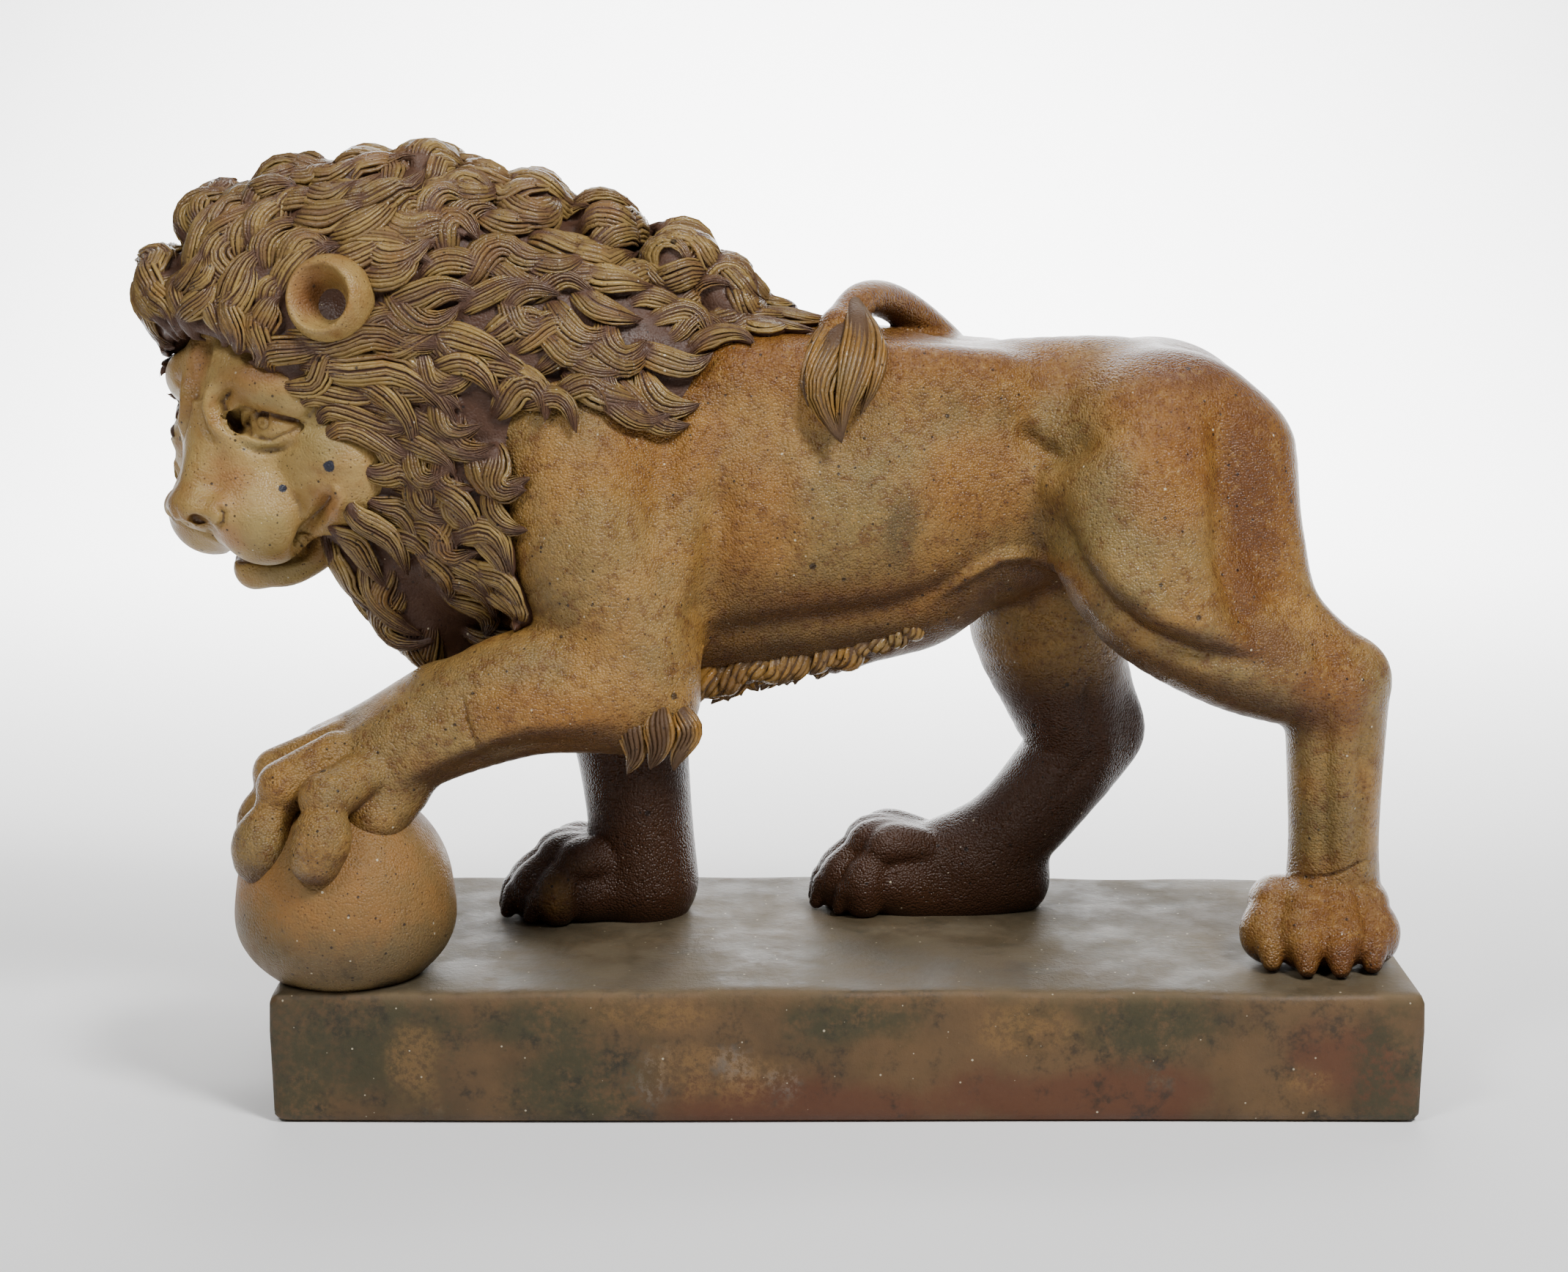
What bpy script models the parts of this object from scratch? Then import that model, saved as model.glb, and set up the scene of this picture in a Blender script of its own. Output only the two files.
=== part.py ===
"""Stoneware lion walking with its left forepaw on a ball, on a rectangular plinth, fired as one piece.

Metres, +Z up. The lion faces -X and its left side faces -Y. The origin is the centre of the plinth's underside.
"""

import math

import bmesh
import bpy
import numpy as np
from mathutils import Matrix, Vector
from mathutils.bvhtree import BVHTree
from mathutils.geometry import intersect_point_line

# Driving dimensions of the plinth and the figure
PLINTH_LENGTH = 1.12
PLINTH_DEPTH = 0.425
PLINTH_HEIGHT = 0.133
PLINTH_EDGE_RADIUS = 0.007
LION_HEIGHT = 0.80

# The figure is set out on a grid of 80 units from the plinth's top to the crest of the mane
GRID_UNITS = 80
UNIT = LION_HEIGHT / GRID_UNITS

# How finely the clay is merged and how far the faceted solid is reduced
CLAY_VOXEL = 0.45 * UNIT
CLAY_SMOOTHING = 4
SOLID_TRIANGLES = 9400

STONEWARE_COLOUR = (0.38, 0.24, 0.11, 1.0)

# The head's own frame: its origin between the brows, turned to the lion's left and bowed
BETWEEN_BROWS = (-63.4, -8.0, 55.2)
HEAD_TURN = math.radians(45)
FACE_SLOPE = math.radians(76)


def on_grid(x, y, z):
    """A point of the figure's grid, in metres."""
    return Vector((x, y, z)) * UNIT + Vector((0, 0, PLINTH_HEIGHT))


def head_frame():
    """The head's axes on the grid: towards its left, out of the face, and down the nose."""
    ahead = Vector((-math.cos(HEAD_TURN), -math.sin(HEAD_TURN), 0))
    left = Vector((math.sin(HEAD_TURN), -math.cos(HEAD_TURN), 0))
    outward = math.sin(FACE_SLOPE) * ahead + math.cos(FACE_SLOPE) * Vector((0, 0, 1))
    down = math.cos(FACE_SLOPE) * ahead - math.sin(FACE_SLOPE) * Vector((0, 0, 1))
    return Matrix((left, outward, down)).transposed()


HEAD_AXES = head_frame()


def on_head(left, outward, down):
    """A point of the head's frame, on the figure's grid."""
    return Vector(BETWEEN_BROWS) + HEAD_AXES @ Vector((left, outward, down))


def smooth_path(stations, step=0.35):
    """Points along a Catmull-Rom curve through stations whose last value is a radius, spaced by that radius."""
    points = [Vector(s) for s in stations]
    points = [2 * points[0] - points[1], *points, 2 * points[-1] - points[-2]]
    for a, b, c, d in zip(points, points[1:], points[2:], points[3:]):
        length = (c.xyz - b.xyz).length
        count = max(2, math.ceil(length / (step * min(b[3], c[3]))))
        for i in range(count):
            t = i / count
            yield 0.5 * (2 * b + (c - a) * t + (2 * a - 5 * b + 4 * c - d) * t**2 + (3 * b - a - 3 * c + d) * t**3)
    yield points[-2]


def ball_pattern(segments):
    """The points and faces of one ball of radius 1."""
    pattern = bmesh.new()
    bmesh.ops.create_uvsphere(pattern, u_segments=segments, v_segments=segments // 2 + 2, radius=1.0)
    points = np.array([v.co for v in pattern.verts])
    faces = [[v.index for v in face.verts] for face in pattern.faces]
    pattern.free()
    return points, faces


class Clay:
    """Lumps of clay pressed together, kept as overlapping closed balls until they are merged."""

    def __init__(self):
        self.patterns = {detail: ball_pattern(detail) for detail in (14, 20, 40)}
        self.points = []
        self.faces = []
        self.count = 0

    def lump(self, centre, radii, turn=None, detail=20):
        """One ellipsoid. turn is a rotation matrix of its axes."""
        points, faces = self.patterns[detail]
        axes = np.array(turn) if turn else np.identity(3)
        self.points.append(points * (np.array(radii) * UNIT) @ axes.T + np.array(on_grid(*centre)))
        self.faces.extend([[i + self.count for i in face] for face in faces])
        self.count += len(points)

    def limb(self, *stations, flat=1.0):
        """A smooth run of balls through stations of (x, y, z, radius). flat narrows it across the lion."""
        for x, y, z, r in smooth_path(stations):
            self.lump((x, y, z), (r, r * flat, r), detail=14)

    def head_lump(self, centre, radii, turn=None):
        """An ellipsoid along the head's own axes."""
        axes = HEAD_AXES @ turn if turn else HEAD_AXES
        self.lump(on_head(*centre), radii, axes)

    def head_pair(self, centre, radii, tilt=0.0):
        """The same lump on both sides of the face. tilt turns it about the axis out of the face, in degrees."""
        for side in (1, -1):
            turn = Matrix.Rotation(math.radians(side * tilt), 3, "Y")
            self.head_lump((side * centre[0], centre[1], centre[2]), radii, turn)

    def head_limb(self, *stations):
        """A limb whose stations are in the head's frame."""
        self.limb(*((*on_head(*s[:3]), s[3]) for s in stations))

    def head_limb_pair(self, *stations):
        """The same limb on both sides of the face."""
        for side in (1, -1):
            self.head_limb(*((side * s[0], *s[1:]) for s in stations))


def trunk(clay):
    """Ribs, loin and rump."""
    clay.limb(
        (-36, 0, 47, 13), (-25, 0, 46.3, 17), (-12, 0, 45.6, 17.7), (0, 0, 46.0, 16.6),
        (11, 0, 47.2, 13.6), (20, 0, 49.2, 12.0), (28, 0, 49.8, 11.2), (34, 0, 47.5, 10.0),
        flat=0.76,
    )
    clay.limb((6, 0, 37, 7), (-6, 0, 34.5, 7), (-18, 0, 33, 7.5), (-30, 0, 34, 8), flat=0.9)


def mane_mass(clay):
    """The bulk of the mane under its locks."""
    clay.limb(
        (-54.0, -1, 62.3, 13.6), (-46, 0, 62.6, 15.2), (-37, 0, 60.0, 15.8), (-26, 0, 55.0, 16.4),
        (-16, 0, 51.0, 14.9), (-10, 0, 49.5, 12.6),
        flat=0.88,
    )
    clay.limb((-47, 0, 52, 11), (-42, 0, 46, 11), (-39.5, 0, 40, 8.5), (-38, 0, 34.5, 5.5))
    clay.limb((-49, -2, 47, 6), (-45.5, -2, 41, 5.5), (-42, -3, 34, 3.8), (-40, -3, 31, 2.6))
    for side in (1, -1):
        clay.lump((-35, side * 4, 48), (9, 10.5, 14))


def head(clay):
    """Skull, brows, muzzle, lips, jaw and ears."""
    clay.head_lump((0, -9.5, -3), (9.0, 9.0, 9.5))
    clay.head_lump((0, -4.2, -4.8), (6.4, 4.4, 4.6))
    clay.head_pair((7.2, -11.0, 1.5), (4.2, 5.5, 6.0))
    clay.head_limb((0, -2.6, -1, 2.9), (0, -3.1, 4, 2.9), (0, -3.4, 8.8, 3.2))
    clay.head_limb_pair((2.2, -4.5, 2, 3.0), (2.8, -5.8, 6.5, 3.4), (3.0, -6.4, 9.4, 3.8))
    clay.head_pair((4.0, -6.2, 10.9), (3.9, 4.2, 3.9))
    clay.head_pair((5.6, -8.8, 9.8), (3.2, 4.6, 4.4))
    clay.head_lump((0, -2.7, 10.2), (3.8, 2.2, 1.8))
    clay.head_limb_pair((2.0, -1.5, 1.4, 1.3), (2.9, -1.6, -1.4, 2.2), (6.2, -3.6, -2.2, 2.5), (8.6, -6.2, -0.2, 1.7))
    clay.head_pair((5.9, -4.6, 0.9), (2.1, 2.1, 1.9))
    clay.head_limb_pair((6.6, -14.0, 6.6, 1.8), (5.6, -14.8, 10.6, 1.8), (3.2, -12.6, 14.2, 1.8), (0, -10.5, 14.8, 2.0))
    clay.head_lump((0, -13.0, 11.5), (5.0, 3.5, 3.0))
    clay.head_lump((-7.5, -14.0, 0), (6.5, 8.0, 12.0))
    clay.head_pair((9.0, -9.5, -11.5), (2.4, 3.4, 4.2), tilt=20)


def foot(clay, heel, heading, reach, width, height):
    """A paw flat on the ground. heading is in degrees from straight ahead towards the lion's left."""
    turn = math.radians(heading)
    ahead = Vector((-math.cos(turn), -math.sin(turn), 0))
    across = Vector((math.sin(turn), -math.cos(turn), 0))
    base = Vector((*heel, 0))
    radius = 0.19 * width
    pitch = (width - 2 * radius) / 3
    pad = base + 0.42 * reach * ahead + Vector((0, 0, 0.40 * height))
    clay.lump(pad, (0.46 * reach, 0.46 * reach, 0.52 * height))
    for place, forward in ((-1.5, 0.80), (-0.5, 1.0), (0.5, 1.0), (1.5, 0.80)):
        root = base + 0.7 * place * pitch * across + Vector((0, 0, 0.9 * height - radius))
        tip = base + place * pitch * across + (forward * reach - radius) * ahead
        knuckle = root.lerp(tip, 0.66)
        clay.limb(
            (*root, radius),
            (*knuckle.xy, height - radius, radius),
            (*tip.xy, 0.45 * height, radius),
            (*tip.xy, 0.8 * radius, radius),
        )


def standing_foreleg(clay):
    """The right foreleg, under the body."""
    clay.limb(
        (-25, 8, 46, 9), (-24.5, 8.5, 36, 8.4), (-23.2, 8, 27, 7.0), (-22.0, 7.5, 18, 5.9), (-21.2, 7.2, 10, 5.5),
        (-21.0, 7.2, 3.5, 5.9),
    )
    foot(clay, (-22.5, 7.2), 8, 12.4, 12.6, 8.8)


def raised_foreleg(clay):
    """The left foreleg, bent at the elbow, its paw over the ball."""
    clay.limb((-27, -7.6, 52, 8.5), (-25, -9.4, 43, 8.8), (-22, -11.4, 34, 7.2), (-20.3, -12.5, 27.5, 5.2))
    clay.limb(
        (-19.5, -12.8, 27, 4.6), (-23.5, -13.2, 28.0, 6.0), (-31, -13.6, 28.0, 6.2), (-39.5, -14, 24.6, 5.2),
        (-47.0, -14, 20.8, 4.8), (-52, -14, 18.2, 4.6),
    )
    for root, knuckle, tip in (
        ((-47.5, -17.5, 19.5), (-51.8, -20.8, 17.2), (-52.6, -22.3, 10.8)),
        ((-50.0, -15.5, 20.5), (-56.2, -16.6, 17.0), (-57.2, -17.6, 10.8)),
        ((-50.0, -12.0, 20.5), (-56.4, -10.8, 17.2), (-57.4, -10.4, 11.6)),
        ((-48.0, -9.5, 19.5), (-53.5, -5.6, 17.0), (-55.0, -4.4, 11.4)),
    ):
        clay.limb((*root, 2.6), (*knuckle, 2.7), (*tip, 2.4))
    clay.lump((-46, -14, 17.5), (4, 4, 3))
    clay.limb((-17.5, -13.0, 26, 2.6), (-16.8, -14.0, 22.5, 2.2), (-17.8, -14.5, 19.2, 1.0))


def near_hind_leg(clay):
    """The left hind leg, stretched back, its paw turned out."""
    clay.lump((32, -6.2, 49.5), (10.6, 7.0, 10.8))
    clay.limb(
        (30, -6.6, 50, 9), (29, -8.5, 44.5, 9.5), (31, -10.0, 38.5, 8.5), (38, -10.5, 32, 6.3), (46.5, -10.0, 28.3, 5.0)
    )
    clay.limb((38.5, -6, 50, 5.5), (40.6, -8, 42, 4.3), (43.2, -9.0, 35.6, 3.3), (47.8, -9.5, 30.2, 3.1))
    clay.limb((48.3, -9.5, 27.5, 5.2), (48.5, -9.0, 19, 4.8), (48.9, -7.5, 11, 4.6), (49.2, -6.5, 5, 4.9))
    clay.lump((50.6, -9.5, 29.0), (2.6, 2.8, 2.8))
    foot(clay, (47.6, -5.6), 86, 9.8, 15.6, 8.0)


def far_hind_leg(clay):
    """The right hind leg, stepping forward."""
    clay.lump((32, 6.2, 49.5), (10.6, 7.0, 10.8))
    clay.limb(
        (30, 6.0, 50, 9), (26, 8, 42, 9.5), (21.5, 8.5, 33, 8.6), (23.2, 8.7, 24, 6.6), (24.6, 8.9, 18, 5.4),
        (21.0, 9, 12.0, 5.0), (16.5, 9, 7.5, 4.8), (10, 9, 5, 4.2),
    )
    clay.limb((27, 8.9, 24, 3.2), (29.0, 8.9, 18.8, 2.7), (25.6, 8.9, 14.5, 2.6))
    clay.lump((15, 9, 4), (6.4, 4.5, 4))
    foot(clay, (10.0, 9.2), 3, 12.4, 12.0, 9.6)


def tail(clay):
    """The tail, from the rump along the far flank, over the back, to its tuft on the near flank."""
    clay.limb(
        (33, 1, 56.5, 3.2), (38.0, 3.5, 53.0, 2.8), (40.5, 7.0, 48.0, 2.4), (36, 11, 45.5, 2.2), (27, 12.8, 47, 2.1),
        (15, 12.0, 52, 2.1), (9.0, 8.0, 58.5, 2.1), (5, 3.0, 62.6, 2.0), (1.5, -2.5, 64.0, 2.0), (-1.5, -7.5, 62.0, 2.3),
    )
    clay.limb(
        (-1.5, -7.5, 62.0, 2.3), (-2.4, -10.2, 58.0, 3.0), (-2.2, -12.2, 52.5, 3.2), (-1.2, -13.0, 47.5, 2.2),
        (-1.3, -13.0, 43.8, 0.9),
    )


def ball(clay):
    """The ball under the raised paw, a little slumped on the plinth."""
    clay.lump((-49.3, -13.0, 7.9), (10.6, 10.6, 10.6), detail=40)
    clay.lump((-49.3, -13.0, 5.0), (10.4, 10.4, 6.2), detail=40)


# The mane's locks start where rays from a spine inside it come out. The spine forks down into the chest
MANE_SPINES = (
    ((-62.5, -8, 60), (-57, -3, 59), (-46, 0, 56), (-34, 0, 52), (-20, 0, 49), (-8, 0, 50)),
    ((-46, 0, 54), (-41, 0, 44), (-38.5, 0, 30)),
)
LOCK_LENGTH = 6.5
LOCK_RADIUS = 1.35
LOCK_SPACING = 3.9
LOCK_SWAY = 0.8


def nearest_on_spines(point):
    """The point of the mane's spines closest to a point."""
    best = None
    for spine in MANE_SPINES:
        for start, end in zip(spine, spine[1:]):
            spot, share = intersect_point_line(point, Vector(start), Vector(end))
            spot = Vector(start).lerp(Vector(end), min(max(share, 0.0), 1.0))
            if best is None or (spot - point).length < (best - point).length:
                best = spot
    return best


class ManeSurface:
    """The outside of the clay laid so far, which the locks follow."""

    def __init__(self, clay):
        points = (np.concatenate(clay.points) - np.array(on_grid(0, 0, 0))) / UNIT
        self.tree = BVHTree.FromPolygons(points.tolist(), clay.faces)

    def outermost(self, inside, direction):
        """The outside point and its normal along a direction from inside."""
        hit = self.tree.ray_cast(inside + 45 * direction, -direction)
        return (hit[0], hit[1]) if hit[0] else (None, None)

    def follow(self, point):
        """The outside point next to a point."""
        inside = nearest_on_spines(point)
        return self.outermost(inside, (point - inside).normalized())


def in_mane(point):
    """Whether a point lies in the mane: behind the face and ahead of the shoulder and withers."""
    face = HEAD_AXES.transposed() @ (point - Vector(BETWEEN_BROWS))
    rim = (face.x / 9.6) ** 2 + ((face.z - 4.5) / 11.5) ** 2
    if rim < 1.0 and face.y > -17:
        return False
    rear = np.interp(point.z, (28, 48, 57, 63, 66, 80), (-33, -29, -27, -15, -9, -5))
    return point.x < rear and point.z > 29


def lock_path(surface, start, phase):
    """Stations of one wavy lock lying on the mane and tapering to its tip."""
    face_centre = on_head(0, -10, 3)
    point = start
    steps = 6
    for i in range(steps):
        spot, normal = surface.follow(point)
        if spot is None or (spot - point).length > 5:
            return
        share = i / (steps - 1)
        away = (spot - face_centre).normalized() + Vector((0.35, 0, -0.75 if spot.z < 62 else -0.25))
        away = (away - away.dot(normal) * normal).normalized()
        across = normal.cross(away)
        wave = LOCK_SWAY * math.sin(2 * math.pi * (share + phase))
        radius = LOCK_RADIUS * (1.0 - 0.72 * share**2)
        yield (*(spot + wave * across + 0.25 * LOCK_RADIUS * normal), radius)
        point = spot + (LOCK_LENGTH / (steps - 1)) * away


def directions(count):
    """Evenly spread unit vectors, along a spiral from the top of a sphere to its bottom."""
    golden = math.pi * (3 - math.sqrt(5))
    for i in range(count):
        z = 1 - 2 * (i + 0.5) / count
        across = math.sqrt(1 - z * z)
        yield Vector((across * math.cos(golden * i), across * math.sin(golden * i), z))


def mane_locks(clay):
    """Locks all over the mane, at least a spacing apart, sweeping back from the face."""
    surface = ManeSurface(clay)
    placed = []
    for spine in MANE_SPINES:
        for here in smooth_path([(*s, LOCK_SPACING / 0.35) for s in spine]):
            for direction in directions(300):
                spot, _ = surface.outermost(here.xyz, direction)
                if spot is None or not in_mane(spot):
                    continue
                if any((spot - other).length < LOCK_SPACING for other in placed):
                    continue
                placed.append(spot)
                stations = list(lock_path(surface, spot, 0.37 * len(placed)))
                if len(stations) > 3:
                    clay.limb(*stations)


def plinth():
    """The rectangular base."""
    bm = bmesh.new()
    size = Matrix.Diagonal((PLINTH_LENGTH, PLINTH_DEPTH, PLINTH_HEIGHT, 1))
    bmesh.ops.create_cube(bm, size=1.0, matrix=Matrix.Translation((0, 0, PLINTH_HEIGHT / 2)) @ size)
    upright = [e for e in bm.edges if abs(e.verts[0].co.z - e.verts[1].co.z) > 0.01]
    top = [e for e in bm.edges if min(v.co.z for v in e.verts) > 0.01]
    bmesh.ops.bevel(bm, geom=upright + top, offset=PLINTH_EDGE_RADIUS, segments=2, affect="EDGES", profile=0.5)
    return bm


def merged(obj):
    """Melt an object's lumps into one smooth skin and facet it."""
    remesh = obj.modifiers.new("merged clay", "REMESH")
    remesh.mode = "VOXEL"
    remesh.voxel_size = CLAY_VOXEL
    smooth = obj.modifiers.new("smoothed by hand", "SMOOTH")
    smooth.factor = 0.5
    smooth.iterations = CLAY_SMOOTHING
    bpy.context.view_layer.update()
    faces = len(obj.evaluated_get(bpy.context.evaluated_depsgraph_get()).data.polygons)
    facets = obj.modifiers.new("facets", "DECIMATE")
    facets.ratio = SOLID_TRIANGLES / (2 * faces)


def stoneware():
    """Salt-glazed stoneware."""
    material = bpy.data.materials.new("stoneware")
    material.use_nodes = True
    shader = material.node_tree.nodes["Principled BSDF"]
    shader.inputs["Base Color"].default_value = STONEWARE_COLOUR
    shader.inputs["Roughness"].default_value = 0.35
    return material


def main():
    for old in list(bpy.data.objects):
        bpy.data.objects.remove(old)
    statue = bpy.data.collections.new("lion_statue")
    helpers = bpy.data.collections.new("cutters")
    for collection in (statue, helpers):
        bpy.context.scene.collection.children.link(collection)

    clay = Clay()
    for shape in (trunk, mane_mass, head):
        shape(clay)
    mane_locks(clay)
    for shape in (standing_foreleg, raised_foreleg, near_hind_leg, far_hind_leg, tail, ball):
        shape(clay)
    mesh = bpy.data.meshes.new("figure")
    mesh.from_pydata(np.concatenate(clay.points), [], clay.faces)
    figure = bpy.data.objects.new("figure", mesh)
    helpers.objects.link(figure)
    figure.hide_render = True
    figure.display_type = "WIRE"
    merged(figure)

    base = bpy.data.meshes.new("stoneware_lion")
    slab = plinth()
    slab.to_mesh(base)
    slab.free()
    base.materials.append(stoneware())
    lion = bpy.data.objects.new("stoneware_lion", base)
    statue.objects.link(lion)
    union = lion.modifiers.new("figure on the plinth", "BOOLEAN")
    union.operation = "UNION"
    union.solver = "EXACT"
    union.object = figure


main()
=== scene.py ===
import math

import bmesh
import bpy
import numpy as np
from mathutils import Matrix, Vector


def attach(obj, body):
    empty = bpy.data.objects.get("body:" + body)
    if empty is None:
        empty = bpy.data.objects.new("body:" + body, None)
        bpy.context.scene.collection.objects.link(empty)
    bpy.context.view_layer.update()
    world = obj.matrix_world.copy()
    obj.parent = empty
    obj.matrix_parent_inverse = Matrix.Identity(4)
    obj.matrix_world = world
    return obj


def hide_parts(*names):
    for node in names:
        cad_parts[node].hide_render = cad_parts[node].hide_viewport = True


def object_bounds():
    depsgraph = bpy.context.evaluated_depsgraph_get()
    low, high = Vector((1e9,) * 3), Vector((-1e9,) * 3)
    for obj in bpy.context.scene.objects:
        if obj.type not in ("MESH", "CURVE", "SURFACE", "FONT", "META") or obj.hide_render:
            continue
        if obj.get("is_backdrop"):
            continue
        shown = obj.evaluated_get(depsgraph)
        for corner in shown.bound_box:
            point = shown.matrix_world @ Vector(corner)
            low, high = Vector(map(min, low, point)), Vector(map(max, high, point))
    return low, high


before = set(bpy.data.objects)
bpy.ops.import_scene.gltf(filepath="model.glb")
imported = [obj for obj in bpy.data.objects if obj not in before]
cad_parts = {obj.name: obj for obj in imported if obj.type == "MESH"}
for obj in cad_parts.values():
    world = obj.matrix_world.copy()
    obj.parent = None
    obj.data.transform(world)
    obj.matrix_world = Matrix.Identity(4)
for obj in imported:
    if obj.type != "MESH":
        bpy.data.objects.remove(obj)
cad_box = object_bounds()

import openvdb
from mathutils import Matrix, Vector
from mathutils.bvhtree import BVHTree

# Sizes shared with the part, in metres: the plinth, and the lion from the plinth's top to the mane's crest
PLINTH_LENGTH = 1.12
PLINTH_DEPTH = 0.425
PLINTH_HEIGHT = 0.133
LION_HEIGHT = 0.80

# The figure is modelled on a grid of 80 units from the plinth's top to the crest of the mane
GRID_UNITS = 80
UNIT = LION_HEIGHT / GRID_UNITS
GRID_ORIGIN = np.array((0.0, 0.0, PLINTH_HEIGHT))

# Fineness of the modelled clay, in grid units
BODY_CELL = 0.26
FACE_CELL = 0.17
MANE_CELL = 0.30
SMALL_CELL = 0.18

GROUND_CELL = 0.40

# How far from the clay distances are still told apart, in grid units
FAR = 4.0

# Most triangles of the finished pieces
BODY_TRIANGLES = 190_000
FACE_TRIANGLES = 150_000
MANE_TRIANGLES = 110_000
SMALL_TRIANGLES = 30_000

# The mane's locks: their spacing in grid units, the points along each, its strands and their sides
LOCK_SPACING = 2.45
STATIONS = 11
STRANDS = 9
STRAND_SIDES = 4

# The head's own frame: its origin between the brows, turned to the lion's left and bowed, in degrees
BETWEEN_BROWS = np.array((-63.4, -8.0, 55.2))
HEAD_TURN = 45
FACE_SLOPE = math.radians(76)

NODE = "stoneware_lion"

# Each ear's centre, and its heading in degrees from straight ahead towards the lion's left
EARS = (((-49.8, -14.4, 66.2), 69), ((-64.4, 8.4, 65.2), -51))


def heading_axes(degrees):
    """The ways ahead and across for a heading in degrees from straight ahead towards the lion's left."""
    turn = math.radians(degrees)
    return np.array((-math.cos(turn), -math.sin(turn), 0.0)), np.array((math.sin(turn), -math.cos(turn), 0.0))


def head_frame():
    """The head's axes on the grid, as columns: towards its left, out of the face, and down the nose."""
    ahead, left = heading_axes(HEAD_TURN)
    up = np.array((0, 0, 1))
    outward = math.sin(FACE_SLOPE) * ahead + math.cos(FACE_SLOPE) * up
    down = math.cos(FACE_SLOPE) * ahead - math.sin(FACE_SLOPE) * up
    return np.array((left, outward, down)).T


HEAD_AXES = head_frame()


def on_head(left, outward, down):
    """A point of the head's frame, on the figure's grid."""
    return BETWEEN_BROWS + HEAD_AXES @ np.array((left, outward, down))


def in_metres(points):
    """Grid points as metres in the row's frame."""
    return np.asarray(points, float) * UNIT + GRID_ORIGIN


def smooth_path(stations, step=0.3):
    """Points along a Catmull-Rom curve through stations that end in a radius, spaced by that radius."""
    points = np.array(stations, float)
    points = np.vstack((2 * points[0] - points[1], points, 2 * points[-1] - points[-2]))
    path = []
    for a, b, c, d in zip(points, points[1:], points[2:], points[3:]):
        length = np.linalg.norm(c[:3] - b[:3])
        count = max(2, math.ceil(length / (step * max(0.4, min(b[3], c[3])))))
        for t in np.arange(count) / count:
            square, cube = (2 * a - 5 * b + 4 * c - d) * t**2, (3 * b - a - 3 * c + d) * t**3
            path.append(0.5 * (2 * b + (c - a) * t + square + cube))
    path.append(points[-2])
    return np.array(path)


def smooth_min(a, b, blend):
    """The smaller of two distances, melted together where they are within blend of each other."""
    share = np.clip(0.5 + 0.5 * (b - a) / blend, 0, 1)
    return b + (a - b) * share - blend * share * (1 - share)


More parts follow.
